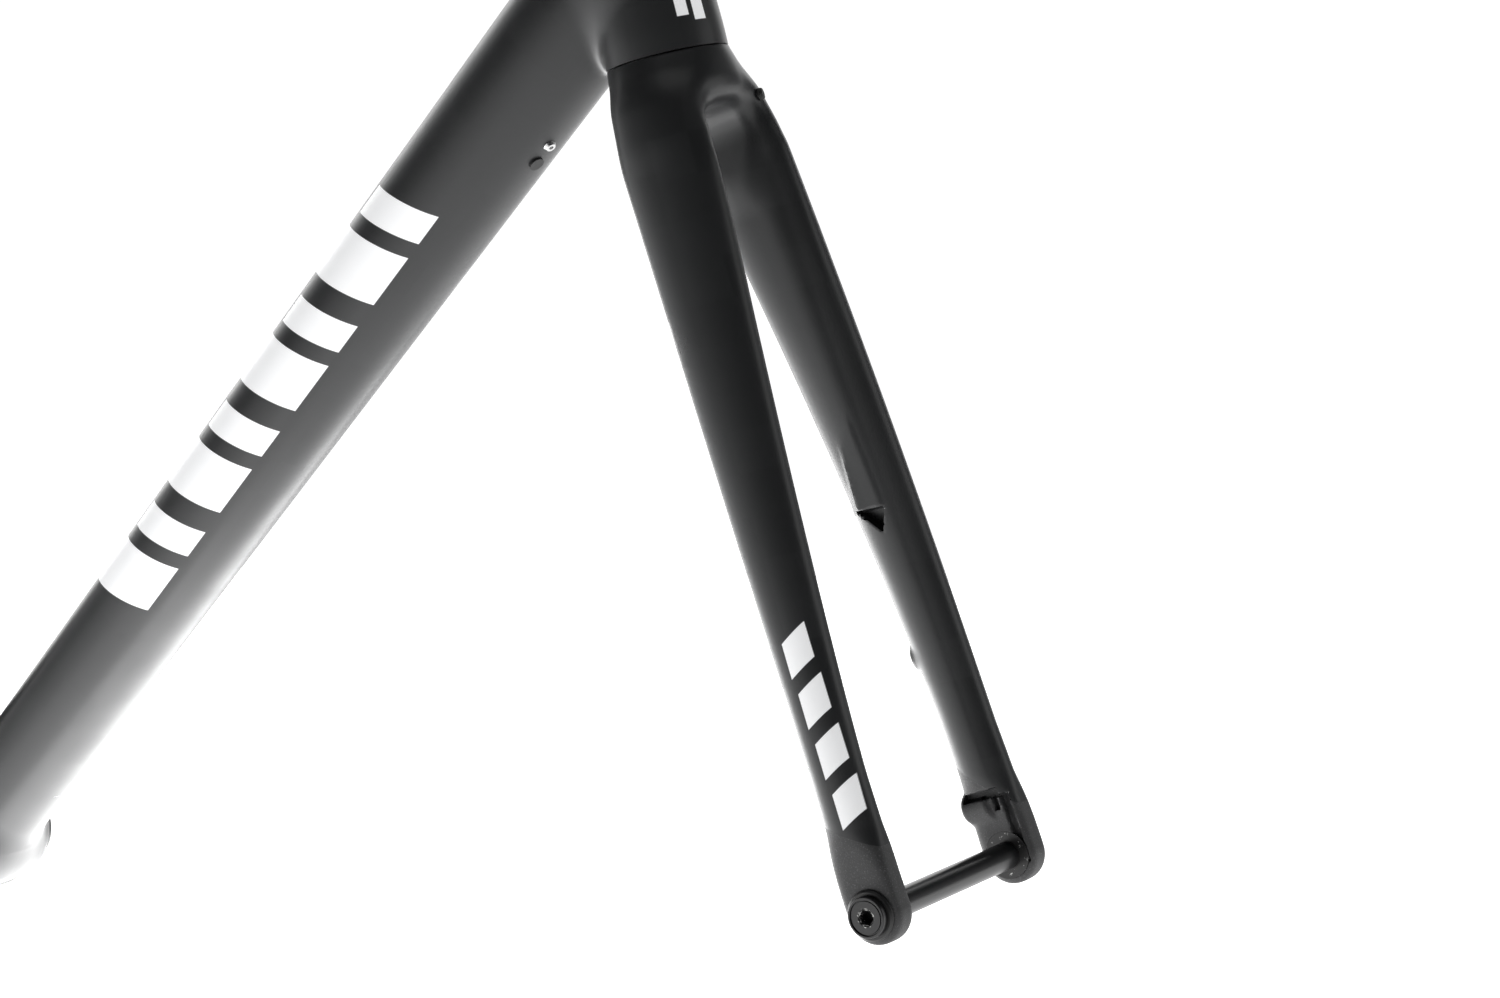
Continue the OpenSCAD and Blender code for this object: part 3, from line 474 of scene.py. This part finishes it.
def rod(axes, r, z0, z1, turns=48):
    return lathe_mesh([(0, z0), (r, z0), (r, z1), (0, z1)], axes, turns)


def smooth_normals(obj, field):
    """Exact normals from the field on the skin, flat ones on the cuts and holes."""
    mesh = obj.data
    mesh.set_sharp_from_angle(angle=math.radians(38))
    n_loops = len(mesh.loops)
    normals = np.zeros(n_loops * 3)
    mesh.corner_normals.foreach_get("vector", normals)
    normals = normals.reshape(-1, 3)
    index = np.zeros(n_loops, int)
    mesh.loops.foreach_get("vertex_index", index)
    co = np.zeros(len(mesh.vertices) * 3)
    mesh.vertices.foreach_get("co", co)
    g = gradient(field, co.reshape(-1, 3) / MM)
    g /= np.maximum(np.linalg.norm(g, axis=1), 1e-9)[:, None]
    face_normals = np.zeros(len(mesh.polygons) * 3)
    mesh.polygons.foreach_get("normal", face_normals)
    starts = np.zeros(len(mesh.polygons), int)
    mesh.polygons.foreach_get("loop_start", starts)
    owner = np.repeat(np.arange(len(starts)), np.diff(np.append(starts, n_loops)))
    own = face_normals.reshape(-1, 3)[owner]
    exact = g[index]
    fits = (exact * own).sum(1) > 0.93
    normals[fits] = exact[fits]
    mesh.normals_split_custom_set([tuple(n) for n in normals])


def leg_place(p):
    """Down a leg, forward of its middle line, and 1 on the inner face or -1 on the outer."""
    q = STEER.local(p)
    t = -q[:, 2]
    return np.stack([t, q[:, 0] - leg_u(t), np.sign(leg_y(t) - np.abs(q[:, 1]))], 1)


def place_on(obj, axes, middle_r):
    """Stores where each point lies: along the tube, round it in mm from the top, and side."""
    mesh = obj.data
    co = np.zeros(len(mesh.vertices) * 3)
    mesh.vertices.foreach_get("co", co)
    q = axes.local(co.reshape(-1, 3) / MM)
    if middle_r is None:
        data = leg_place(co.reshape(-1, 3) / MM)
    else:
        angle = np.arctan2(np.abs(q[:, 1]), -q[:, 0])
        data = np.stack([q[:, 2], angle * middle_r, np.sign(q[:, 1])], 1)
    data = data.astype(np.float32)
    attribute = mesh.attributes.new("place", "FLOAT_VECTOR", "POINT")
    attribute.data.foreach_set("vector", data.reshape(-1))


def finish_piece(obj, body, material, nodes):
    obj.data.materials.clear()
    obj.data.materials.append(material)
    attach(obj, body)
    if nodes:
        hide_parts(*nodes)


def skin(name, field, axes, low, high, step, cuts, body, material, nodes, tube,
         holes=(), middle_r=26.7):
    """Meshes the field in a box of the axes and cuts it by the planes. tube and middle_r
    say where its materials measure from; middle_r None measures as on a fork leg."""
    points, quads = surface(field, axes, low, high, step)
    bm = bmesh.new()
    verts = [bm.verts.new(p) for p in points]
    for q in quads:
        if len(set(q)) == 4:
            try:
                bm.faces.new([verts[i] for i in q])
            except ValueError:
                pass
    for c in cuts:
        cut(bm, *c)
    loose = [v for v in bm.verts if not v.link_faces]
    bmesh.ops.delete(bm, geom=loose, context="VERTS")
    bmesh.ops.scale(bm, vec=(MM, MM, MM), verts=bm.verts[:])
    mesh = bpy.data.meshes.new(name)
    bm.to_mesh(mesh)
    bm.free()
    obj = bpy.data.objects.new(name, mesh)
    bpy.context.scene.collection.objects.link(obj)
    if holes:
        drill(obj, holes)
    smooth_normals(obj, field)
    place_on(obj, tube, middle_r)
    finish_piece(obj, body, material, nodes)


# ---------- materials ----------


class Nodes:
    """Short forms for building a node material."""

    def __init__(self, name):
        self.mat = bpy.data.materials.new(name)
        self.mat.use_nodes = True
        self.tree = self.mat.node_tree
        self.shader = self.tree.nodes["Principled BSDF"]

    def new(self, kind, **values):
        node = self.tree.nodes.new(kind)
        for k, v in values.items():
            setattr(node, k, v)
        return node

    def link(self, a, b):
        self.tree.links.new(a, b)

    def feed(self, socket, value):
        if isinstance(value, bpy.types.NodeSocket):
            self.link(value, socket)
        else:
            socket.default_value = value

    def math(self, op, a, b=0.0, c=None, clamp=False):
        node = self.new("ShaderNodeMath", operation=op, use_clamp=clamp)
        self.feed(node.inputs[0], a)
        self.feed(node.inputs[1], b)
        if c is not None:
            self.feed(node.inputs[2], c)
        return node.outputs[0]

    def mix(self, factor, a, b):
        node = self.new("ShaderNodeMix", data_type="RGBA")
        self.feed(node.inputs["Factor"], factor)
        self.feed(node.inputs[6], a)
        self.feed(node.inputs[7], b)
        return node.outputs[2]

    def blend(self, factor, a, b):
        node = self.new("ShaderNodeMix", data_type="FLOAT")
        self.feed(node.inputs["Factor"], factor)
        self.feed(node.inputs[2], a)
        self.feed(node.inputs[3], b)
        return node.outputs[0]

    def object_place(self):
        return self.new("ShaderNodeTexCoord").outputs["Object"]

    def noise(self, scale, detail=4.0, rough=0.55, distortion=0.0):
        node = self.new("ShaderNodeTexNoise")
        node.inputs["Scale"].default_value = scale
        node.inputs["Detail"].default_value = detail
        node.inputs["Roughness"].default_value = rough
        node.inputs["Distortion"].default_value = distortion
        self.link(self.object_place(), node.inputs["Vector"])
        return node.outputs["Fac"]

    def bump(self, height, strength, distance):
        node = self.new("ShaderNodeBump")
        node.inputs["Strength"].default_value = strength
        node.inputs["Distance"].default_value = distance
        self.link(height, node.inputs["Height"])
        self.link(node.outputs[0], self.shader.inputs["Normal"])

    def step_in(self, value, low, high, edge):
        """1 between low and high, with edges of the given softness."""
        a = self.math("MULTIPLY_ADD", value, 1 / edge, -low / edge + 0.5, clamp=True)
        b = self.math("MULTIPLY_ADD", value, -1 / edge, high / edge + 0.5, clamp=True)
        return self.math("MULTIPLY", a, b)

    def place(self):
        node = self.new("ShaderNodeAttribute", attribute_name="place")
        split = self.new("ShaderNodeSeparateXYZ")
        self.link(node.outputs["Vector"], split.inputs[0])
        return split.outputs[0], split.outputs[1], split.outputs[2]


# Linear colours
CARBON = (0.0115, 0.012, 0.0128, 1)
CARBON_PALE = (0.0175, 0.0182, 0.0192, 1)
PAINT_WHITE = (0.86, 0.865, 0.875, 1)


def carbon_material(name, bars=(), worn=None, cell=22.0):
    """Matt clear coat over black carbon with faint laid squares of the cell's size.
    bars: (from, to, round low, round high, lean) of white blocks on the right side; the blocks also glow faintly
    as a painted highlight.
    worn: (from, to, round low, round high) of a smoother patch on the right side."""
    m = Nodes(name)
    along, round_, side = m.place()
    cells = m.new("ShaderNodeCombineXYZ")
    m.link(m.math("FLOOR", m.math("MULTIPLY", along, 1 / cell)), cells.inputs[0])
    m.link(m.math("FLOOR", m.math("MULTIPLY", round_, 1 / cell)), cells.inputs[1])
    m.link(side, cells.inputs[2])
    tone = m.new("ShaderNodeTexWhiteNoise", noise_dimensions="3D")
    m.link(cells.outputs[0], tone.inputs["Vector"])
    weave = m.noise(260.0, 2.0)
    cloud = m.noise(14.0, 3.0)
    shade = m.math("ADD", m.math("MULTIPLY", tone.outputs["Value"], 0.55),
                   m.math("MULTIPLY", cloud, 0.45))
    color = m.mix(shade, CARBON, CARBON_PALE)
    rough = m.math("MULTIPLY_ADD", tone.outputs["Value"], 0.05, 0.36)
    rough = m.math("MULTIPLY_ADD", m.noise(60.0, 5.0), 0.10, rough)
    if worn:
        low, high, ring_low, ring_high = worn
        patch = m.math("MULTIPLY", m.step_in(along, low, high, 26.0),
                       m.step_in(round_, ring_low, ring_high, 9.0))
        streaks = m.math("MULTIPLY_ADD", m.noise(55.0, 6.0, 0.7, distortion=1.2), 6.0, -2.9,
                         clamp=True)
        patch = m.math("MULTIPLY", patch, streaks)
        patch = m.math("MULTIPLY", patch, m.math("LESS_THAN", side, 0.0))
        rough = m.blend(patch, rough, 0.2)
    if bars:
        mask = None
        for s0, s1, w0, w1, lean in bars:
            leaned = m.math("MULTIPLY_ADD", round_, lean, along)
            one = m.math("MULTIPLY", m.step_in(leaned, s0, s1, 0.35),
                         m.step_in(round_, w0, w1, 0.35))
            mask = one if mask is None else m.math("MAXIMUM", mask, one)
        mask = m.math("MULTIPLY", mask, m.math("LESS_THAN", side, 0.0))
        color = m.mix(mask, color, PAINT_WHITE)
        rough = m.blend(mask, rough, 0.42)
        # Painted highlight: the white blocks glow faintly so they read brighter than the lamps alone make them
        m.link(m.math("MULTIPLY", mask, 0.26), m.shader.inputs["Emission Strength"])
        m.shader.inputs["Emission Color"].default_value = (1, 1, 1, 1)
    m.link(color, m.shader.inputs["Base Color"])
    m.link(rough, m.shader.inputs["Roughness"])
    m.shader.inputs["Specular IOR Level"].default_value = 0.45
    m.shader.inputs["Coat Weight"].default_value = 0.12
    m.shader.inputs["Coat Roughness"].default_value = 0.22
    m.bump(m.math("ADD", m.math("MULTIPLY", weave, 0.6), m.noise(900.0, 2.0)), 0.10, 0.00012)
    return m.mat


def speckled_material(name):
    """Rough dark grey of the fork tips, with pale specks."""
    m = Nodes(name)
    grain = m.noise(1500.0, 3.0, 0.7)
    specks = m.math("MULTIPLY_ADD", grain, 7.0, -3.9, clamp=True)
    cloud = m.noise(70.0, 4.0)
    base = m.mix(cloud, (0.026, 0.026, 0.027, 1), (0.045, 0.045, 0.046, 1))
    m.link(m.mix(specks, base, (0.11, 0.11, 0.112, 1)), m.shader.inputs["Base Color"])
    m.link(m.math("MULTIPLY_ADD", grain, 0.25, 0.45), m.shader.inputs["Roughness"])
    m.shader.inputs["Specular IOR Level"].default_value = 0.5
    m.bump(grain, 0.35, 0.0003)
    return m.mat


def plain_material(name, dark, light, rough, rough_span, scale, metallic=0.0, bump=0.1,
                   distance=0.0001):
    """Base with fine mottling in colour, roughness and surface."""
    m = Nodes(name)
    fine = m.noise(scale, 5.0, 0.6)
    broad = m.noise(scale * 0.08, 3.0)
    m.link(m.mix(m.math("MULTIPLY", m.math("ADD", fine, broad), 0.5), dark, light),
           m.shader.inputs["Base Color"])
    m.link(m.math("MULTIPLY_ADD", fine, rough_span, rough), m.shader.inputs["Roughness"])
    m.shader.inputs["Metallic"].default_value = metallic
    m.bump(fine, bump, distance)
    return m.mat


def nicked_metal(name):
    """Worn black ring with bright nicks."""
    m = Nodes(name)
    nicks = m.math("MULTIPLY_ADD", m.noise(520.0, 4.0, 0.75), 15.0, -9.0, clamp=True)
    m.link(m.mix(nicks, (0.009, 0.009, 0.009, 1), (0.55, 0.55, 0.54, 1)),
           m.shader.inputs["Base Color"])
    m.link(m.math("MULTIPLY_ADD", m.noise(300.0), 0.2, 0.35), m.shader.inputs["Roughness"])
    m.link(m.math("MULTIPLY", nicks, 0.8), m.shader.inputs["Metallic"])
    m.bump(nicks, 0.2, 0.0001)
    return m.mat


MAT = {
    "carbon": carbon_material("carbon_plain"),
    "nicked": nicked_metal("worn_ring"),
    "tip": speckled_material("tip_grey"),
    "alloy": plain_material("black_anodised", (0.018, 0.018, 0.019, 1), (0.035, 0.035, 0.037, 1),
                            0.28, 0.12, 900.0, 0.6, 0.15),
    "axle": plain_material("satin_axle", (0.012, 0.012, 0.0125, 1), (0.02, 0.02, 0.021, 1),
                           0.22, 0.10, 700.0, 0.3, 0.08),
    "steel": plain_material("ground_steel", (0.42, 0.42, 0.43, 1), (0.6, 0.6, 0.61, 1),
                            0.18, 0.14, 800.0, 1.0, 0.1),
    "screw": plain_material("bright_screw", (0.5, 0.5, 0.5, 1), (0.7, 0.7, 0.7, 1),
                            0.16, 0.15, 1200.0, 1.0, 0.1),
    "rubber": plain_material("dark_rubber", (0.01, 0.01, 0.01, 1), (0.02, 0.02, 0.02, 1),
                             0.55, 0.2, 500.0, 0.0, 0.25, 0.0002),
    "plastic": plain_material("black_plastic", (0.008, 0.008, 0.008, 1),
                              (0.016, 0.016, 0.016, 1), 0.35, 0.15, 600.0, 0.0, 0.12),
}

# Plain blocks stand in for the marks on the right of the down tube, the near leg and the
# head tube. The last one of the down tube lies beside the bottom bracket.
DOWN_BARS = []
for i in range(4):
    start = 172.0 + i * 70.0
    DOWN_BARS.append((start, start + 30.0, 2.0, 57.0, -0.42))
    DOWN_BARS.append((start + 39.0, start + 56.0, 18.0, 57.0, -0.42))
DOWN_BARS.append((18.0, 62.0, 79.0, 85.0, 0.0))
LEG_BARS = [(250.0 + i * 22.0, 265.0 + i * 22.0, -3.0 + i, 9.5 + 0.6 * i, 0.6)
            for i in range(4)]
HEAD_BARS = [(13.5, 40.0, 66.0, 71.5, 0.0), (11.0, 36.0, 74.0, 80.0, 0.0)]

MAT["down"] = carbon_material("carbon_down_tube", DOWN_BARS)
MAT["head"] = carbon_material("carbon_head_tube", HEAD_BARS)
MAT["leg_right"] = carbon_material("carbon_leg_right", LEG_BARS, worn=(95.0, 175.0, -22.0, -4.0),
                                   cell=18.0)
MAT["leg_left"] = carbon_material("carbon_leg_left", cell=18.0)

# ---------- skins of the frame ----------

# The planes where one carbon piece ends and its neighbour starts
HEAD_U, BB_S = -29.5, 62.0
SEAT_FRONT, SEAT_REAR = 32.0, -33.0
STAY_X, DROPOUT_X, DROPOUT_Z = -56.0, -379.0, 96.0
BOSS_HOLE_R = 3.45


def span(sign, low, high):
    """The range from low to high on one side of the middle plane."""
    return sorted((low * sign, high * sign))


skin("head_tube_skin", frame_field, STEER, (-34, -34, -5), (34, 34, 141), 1.7,
     [(STEER, 0, HEAD_U, 1), (STEER, 2, 0.0, 1), (STEER, 2, HEAD_LEN, -1)],
     "frame", MAT["head"], ["head_tube"], STEER,
     holes=[lathe_mesh([(0, -3), (23.5, -3), (23.5, 6.3), (18.6, 11.3), (18.6, 127.5),
                        (20.95, 129.9), (20.95, 139), (0, 139)], STEER)])

PORT_TURN = math.radians(10)
port = aim_axes(DOWN.world([0, 0, 507]),
                DOWN.m @ [math.cos(PORT_TURN), -math.sin(PORT_TURN), 0])
port_screw = aim_axes(DOWN.world([0, 0, 518]), port.z)
boss_holes = [rod(aim_axes(DOWN.world([0, 0, s]), -DOWN.x), BOSS_HOLE_R, 12, 40, 24)
              for s in (206.5, 270.5)]
skin("down_tube_skin", frame_field, DOWN, (-36, -34, 55), (36, 34, 602), 2.2,
     [(STEER, 0, HEAD_U, -1), (DOWN, 2, BB_S, 1)],
     "frame", MAT["down"], ["down_tube"], DOWN,
     holes=boss_holes + [rod(port, 2.25, 12, 40, 24), rod(port_screw, 1.65, 12, 40, 24)])

skin("top_tube_skin", frame_field, TOP, (-26, -26, 20), (26, 26, TOP_LEN - 20), 2.2,
     [(STEER, 0, HEAD_U, -1), (SEAT, 0, SEAT_FRONT, 1)],
     "frame", MAT["carbon"], ["top_tube"], TOP, middle_r=17.0)

seat_holes = [rod(aim_axes(SEAT.world([0, 0, s]), SEAT.x), BOSS_HOLE_R, 10, 30, 24)
              for s in (158, 222)]
skin("seat_tube_skin", frame_field, SEAT, (-44, -32, 55), (40, 32, 509), 1.9,
     [(SEAT, 0, SEAT_FRONT, -1), (SEAT, 0, SEAT_REAR, 1), (SEAT, 2, SEAT_LEN, -1),
      (SEAT, 2, BB_S, 1)],
     "frame", MAT["carbon"], ["seat_tube"], SEAT,
     holes=seat_holes + [rod(SEAT, 13.65, 345, 510, 64)], middle_r=18.0)

skin("bb_shell_skin", frame_field, WORLD, (-60, -36, -30), (62, 36, 72), 1.8,
     [(DOWN, 2, BB_S, -1), (SEAT, 2, BB_S, -1), (WORLD, 0, STAY_X, 1), (WORLD, 1, 33.0, -1),
      (WORLD, 1, -33.0, 1)],
     "frame", MAT["carbon"], ["bb_shell"], DOWN,
     holes=[rod(y_axes([0, 0, 0]), 18.65, -40, 40, 72)])

for sign, side in ((1, "left"), (-1, "right")):
    low, high = span(sign, 8, 88)
    skin("chainstay_" + side + "_skin", frame_field, WORLD, (-384, low, -26), (-50, high, 84),
         2.0, [(WORLD, 0, STAY_X, -1), (WORLD, 0, DROPOUT_X, 1)],
         "frame", MAT["carbon"], ["chainstay_" + side],
         Axes([-20, 0, 0], [-360, 0, 66]), middle_r=12.0)
    low, high = span(sign, 5, 88)
    skin("seatstay_" + side + "_skin", frame_field, STAY_LINE, (-20, low, 4), (20, high, 400),
         1.8, [(SEAT, 0, SEAT_REAR, -1), (WORLD, 2, DROPOUT_Z, 1)],
         "frame", MAT["carbon"], ["seatstay_" + side], STAY_LINE, middle_r=9.0)
    low, high = span(sign, 66, 84)
    skin("dropout_" + side + "_skin", frame_field, WORLD, (-424, low, 50), (-374, high, 102),
         1.3, [(WORLD, 0, DROPOUT_X, -1), (WORLD, 2, DROPOUT_Z, -1)],
         "frame", MAT["carbon"], ["dropout_" + side], STAY_LINE,
         holes=[rod(y_axes([REAR[0], 0, REAR[2]]), 8.05, -95, 95, 48)], middle_r=12.0)

# ---------- skins of the fork ----------

# base and tilt: height and slope of the line where the tips' grey finish starts
for sign, side, base, tilt in ((1, "left", 337.5, 0.78), (-1, "right", 335.6, 0.47)):
    edge = Axes(STEER.world([AXLE_U, 0, -base]), STEER.m @ [tilt, 0, 1.0])
    low, high = span(sign, 2, 72)
    skin("fork_leg_" + side + "_skin", fork_field, STEER, (-30, low, -350), (66, high, -48),
         1.35, [(STEER, 2, -LEG_TOP, -1), (edge, 2, 0.0, 1)],
         "fork", MAT["leg_" + side], ["fork_leg_" + side],
         STEER, middle_r=None)
    seat = [(0, 44), (10.6, 44), (10.6, 51), (8.05, 51), (8.05, 62.9), (11.2, 62.9),
            (11.2, 66), (0, 66)]
    low, high = span(sign, 40, 72)
    skin("fork_tip_" + side + "_skin", fork_field, STEER, (18, low, -384), (66, high, -318),
         1.0, [(edge, 2, 0.0, -1)],
         "fork", MAT["tip"], ["fork_tip_" + side], STEER,
         holes=[lathe_mesh(seat, y_axes(AXLE, sign), 64)], middle_r=14.0)

skin("fork_crown_skin", fork_field, STEER, (-32, -46, -58), (36, 46, 3), 1.3,
     [(STEER, 2, CROWN_TOP, -1), (STEER, 2, -LEG_TOP, 1)],
     "fork", MAT["leg_left"], ["fork_crown"], STEER,
     holes=[rod(STEER, 15.95, -22.1, 5, 64)], middle_r=None)

# ---------- axles with turned heads ----------


def worn_axle(name, centre):
    """Satin black with bright nicks round the hex socket; centre is the axle's x and z."""
    m = Nodes(name)
    split = m.new("ShaderNodeSeparateXYZ")
    m.link(m.object_place(), split.inputs[0])
    dx = m.math("SUBTRACT", split.outputs[0], centre[0] * MM)
    dz = m.math("SUBTRACT", split.outputs[2], centre[1] * MM)
    r = m.math("SQRT", m.math("ADD", m.math("MULTIPLY", dx, dx), m.math("MULTIPLY", dz, dz)))
    ring = m.step_in(r, 0.0031, 0.0041, 0.0003)
    outside = m.math("GREATER_THAN", m.math("ABSOLUTE", split.outputs[1]), 0.064)
    nicks = m.math("MULTIPLY_ADD", m.noise(900.0, 3.0, 0.7), 14.0, -7.6, clamp=True)
    mask = m.math("MULTIPLY", m.math("MULTIPLY", ring, outside), nicks)
    fine = m.noise(220.0, 3.0)
    base = m.mix(fine, (0.0085, 0.0085, 0.009, 1), (0.0115, 0.0115, 0.012, 1))
    m.link(m.mix(mask, base, (0.62, 0.62, 0.6, 1)), m.shader.inputs["Base Color"])
    m.link(m.math("MULTIPLY_ADD", fine, 0.03, 0.27), m.shader.inputs["Roughness"])
    m.link(m.math("MULTIPLY", mask, 0.9), m.shader.inputs["Metallic"])
    m.bump(mask, 0.08, 0.0001)
    return m.mat


def turned_axle(name, head_face, length, sign, body, node):
    """Head with an outer ring, a groove and a flat disc; z = 0 is the head's face."""
    place = y_axes(head_face, sign)
    verts, faces = lathe_mesh(
        [(0, 0.25), (6.9, 0.25), (7.05, 0.75), (7.4, 0.75), (7.55, 0.15), (7.75, 0), (8.4, 0),
         (8.7, 0.3), (8.75, 0.6), (8.75, 2.7), (8.45, 3), (6, 3), (6, length - 1.5),
         (4.8, length), (4, length), (4, 14), (0, 14)], place, 96)
    obj = mesh_object(name, verts, faces)
    drill(obj, [rod(place, 3.487, 0.7, 6, 6)])
    drill(obj, [lathe_mesh([(0, -0.5), (4.5, -0.5), (3.3, 0.85), (0, 0.85)], place, 48)])
    obj.data.shade_smooth()
    obj.data.set_sharp_from_angle(angle=math.radians(32))
    finish = worn_axle(name + "_finish", (head_face[0], head_face[2]))
    finish_piece(obj, body, finish, [node])


def axle_ends(node):
    low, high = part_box(node)
    return low[1] / MM, high[1] / MM


# Plug of the crown's port, seated on the skin
aim = STEER.m @ np.array([0.925, 0.374, 0.07])
root = STEER.world([20.0, 20.3, -24.0])
steps = np.arange(0, 20, 0.05)[:, None]
depth = fork_field(root + steps * aim)
root = root + float(steps[np.argmax(depth > 0)][0]) * aim
plug_axes = aim_axes(root, aim)
plug_profile = [(0, -2.5), (1.8, -2.5), (1.8, -0.1), (2.8, -0.1), (2.8, 0.7), (2.5, 1.7),
                (2.1, 2.0), (0.9, 2.0), (0.7, 1.6), (0, 1.6)]
verts, faces = lathe_mesh(plug_profile, plug_axes, 40)
plug = mesh_object("crown_plug_skin", verts, faces)
plug.data.shade_smooth()
plug.data.set_sharp_from_angle(angle=math.radians(32))
finish_piece(plug, "fork", MAT["rubber"], ["crown_port_plug"])

low_y, high_y = axle_ends("front_axle_shaft")
turned_axle("front_axle_skin", [AXLE[0], low_y, AXLE[2]], high_y - low_y, 1, "front_axle",
            "front_axle_shaft")
low_y, high_y = axle_ends("rear_axle_shaft")
turned_axle("rear_axle_skin", [REAR[0], high_y, REAR[2]], high_y - low_y, -1, "rear_axle",
            "rear_axle_shaft")

# ---------- CAD pieces that stay ----------

SLOT_MATERIAL = {"black_alloy": "alloy", "axle_alloy": "axle", "bearing_steel": "steel",
                 "screw_steel": "screw", "rubber": "rubber", "black_plastic": "plastic",
                 "carbon_skin": "carbon", "tip_skin": "tip"}
# The headset races are coloured black instead of bearing steel as painted shade, so the seam between crown and
# head tube reads as a dark gap; the thread insert and axle bushing get worn rings with bright nicks.
NODE_MATERIAL = {"crown_race": "plastic", "lower_outer_race": "plastic",
                 "lower_inner_race": "plastic", "front_thread_insert": "nicked",
                 "front_axle_bushing": "nicked"}
for part in frame["record"]["subparts"]:
    node = frame["nodes"][part["node"]]
    node.data.materials.clear()
    finish = SLOT_MATERIAL[part["material_slot"]]
    finish = NODE_MATERIAL.get(part["node"], finish)
    node.data.materials.append(MAT[finish])

# ---------- studio ----------

# The photograph's viewpoint: degrees round and above the object, the camera's own tilt,
# and its place in metres
CAMERA_AZIMUTH, CAMERA_ELEVATION, CAMERA_ROLL = -56.942, 9.902, 0.712
CAMERA_PLACE = (1.3166, -1.3046, 0.4948)
CAMERA_LENS, SENSOR_WIDTH = 88.25, 36.0

camera = bpy.data.cameras.new("camera")
camera.lens = CAMERA_LENS
camera.sensor_width = SENSOR_WIDTH
camera.clip_end = 50.0
cam = bpy.data.objects.new("camera", camera)
bpy.context.scene.collection.objects.link(cam)
cam.matrix_world = (Matrix.Translation(CAMERA_PLACE)
                    @ Matrix.Rotation(math.radians(90 + CAMERA_AZIMUTH), 4, "Z")
                    @ Matrix.Rotation(math.radians(90 - CAMERA_ELEVATION), 4, "X")
                    @ Matrix.Rotation(math.radians(CAMERA_ROLL), 4, "Z"))
bpy.context.scene.camera = cam

FLOOR_Z, FLOOR_HALF = -0.30, 9000.0
floor_mat = Nodes("pale_floor")
floor_tone = floor_mat.noise(1.5, 2.0)
floor_mat.link(floor_mat.mix(floor_tone, (0.88, 0.88, 0.88, 1), (0.92, 0.92, 0.92, 1)),
               floor_mat.shader.inputs["Base Color"])
floor_mat.shader.inputs["Roughness"].default_value = 0.9
floor_mat.shader.inputs["Specular IOR Level"].default_value = 0.1
floor_mat.shader.inputs["Emission Color"].default_value = (1, 1, 1, 1)
floor_mat.shader.inputs["Emission Strength"].default_value = 1.1
corners = ((-1, -1), (1, -1), (1, 1), (-1, 1))
floor = mesh_object("floor", [[x * FLOOR_HALF, y * FLOOR_HALF, FLOOR_Z / MM]
                              for x, y in corners], [[0, 1, 2, 3]])
floor.data.materials.append(floor_mat.mat)


def soft_light(name, place, target, size, size_y, power):
    light = bpy.data.lights.new(name, "AREA")
    light.shape = "RECTANGLE"
    light.size, light.size_y, light.energy = size, size_y, power
    obj = bpy.data.objects.new(name, light)
    obj.location = place
    obj.rotation_euler = (Vector(target) - Vector(place)).to_track_quat("-Z", "Y").to_euler()
    obj.visible_camera = False
    bpy.context.scene.collection.objects.link(obj)


CENTRE = (0.35, 0.0, 0.25)
soft_light("back_panel", (-0.8, 1.9, 0.7), CENTRE, 3.6, 2.4, 46)
soft_light("left_panel", (-1.9, 0.55, 0.45), CENTRE, 1.5, 1.6, 15)
soft_light("right_panel", (2.4, 1.3, 0.5), CENTRE, 1.4, 1.8, 9)
soft_light("overhead", (0.0, 0.3, 2.3), CENTRE, 2.0, 2.0, 10)
soft_light("low_panel", (-0.27, 0.2, -0.28), (-0.27, 0.2, 1.0), 1.05, 0.9, 19)
soft_light("low_front", (-0.25, -0.6, -0.28), (-0.25, -0.6, 1.0), 0.9, 0.6, 2.5)

# The camera sees a white backdrop; the object gets only a faint fill from it
SEEN_STRENGTH, FILL_STRENGTH = 1.05, 0.05
world = bpy.data.worlds.new("studio")
bpy.context.scene.world = world
world.use_nodes = True
tree = world.node_tree
tree.nodes.clear()
path = tree.nodes.new("ShaderNodeLightPath")
seen = tree.nodes.new("ShaderNodeBackground")
seen.inputs[0].default_value = (1, 1, 1, 1)
seen.inputs[1].default_value = SEEN_STRENGTH
fill = tree.nodes.new("ShaderNodeBackground")
fill.inputs[0].default_value = (0.92, 0.96, 1.0, 1)
fill.inputs[1].default_value = FILL_STRENGTH
both = tree.nodes.new("ShaderNodeMixShader")
out = tree.nodes.new("ShaderNodeOutputWorld")
tree.links.new(path.outputs["Is Camera Ray"], both.inputs[0])
tree.links.new(fill.outputs[0], both.inputs[1])
tree.links.new(seen.outputs[0], both.inputs[2])
tree.links.new(both.outputs[0], out.inputs[0])
bpy.context.scene.view_settings.view_transform = "Standard"
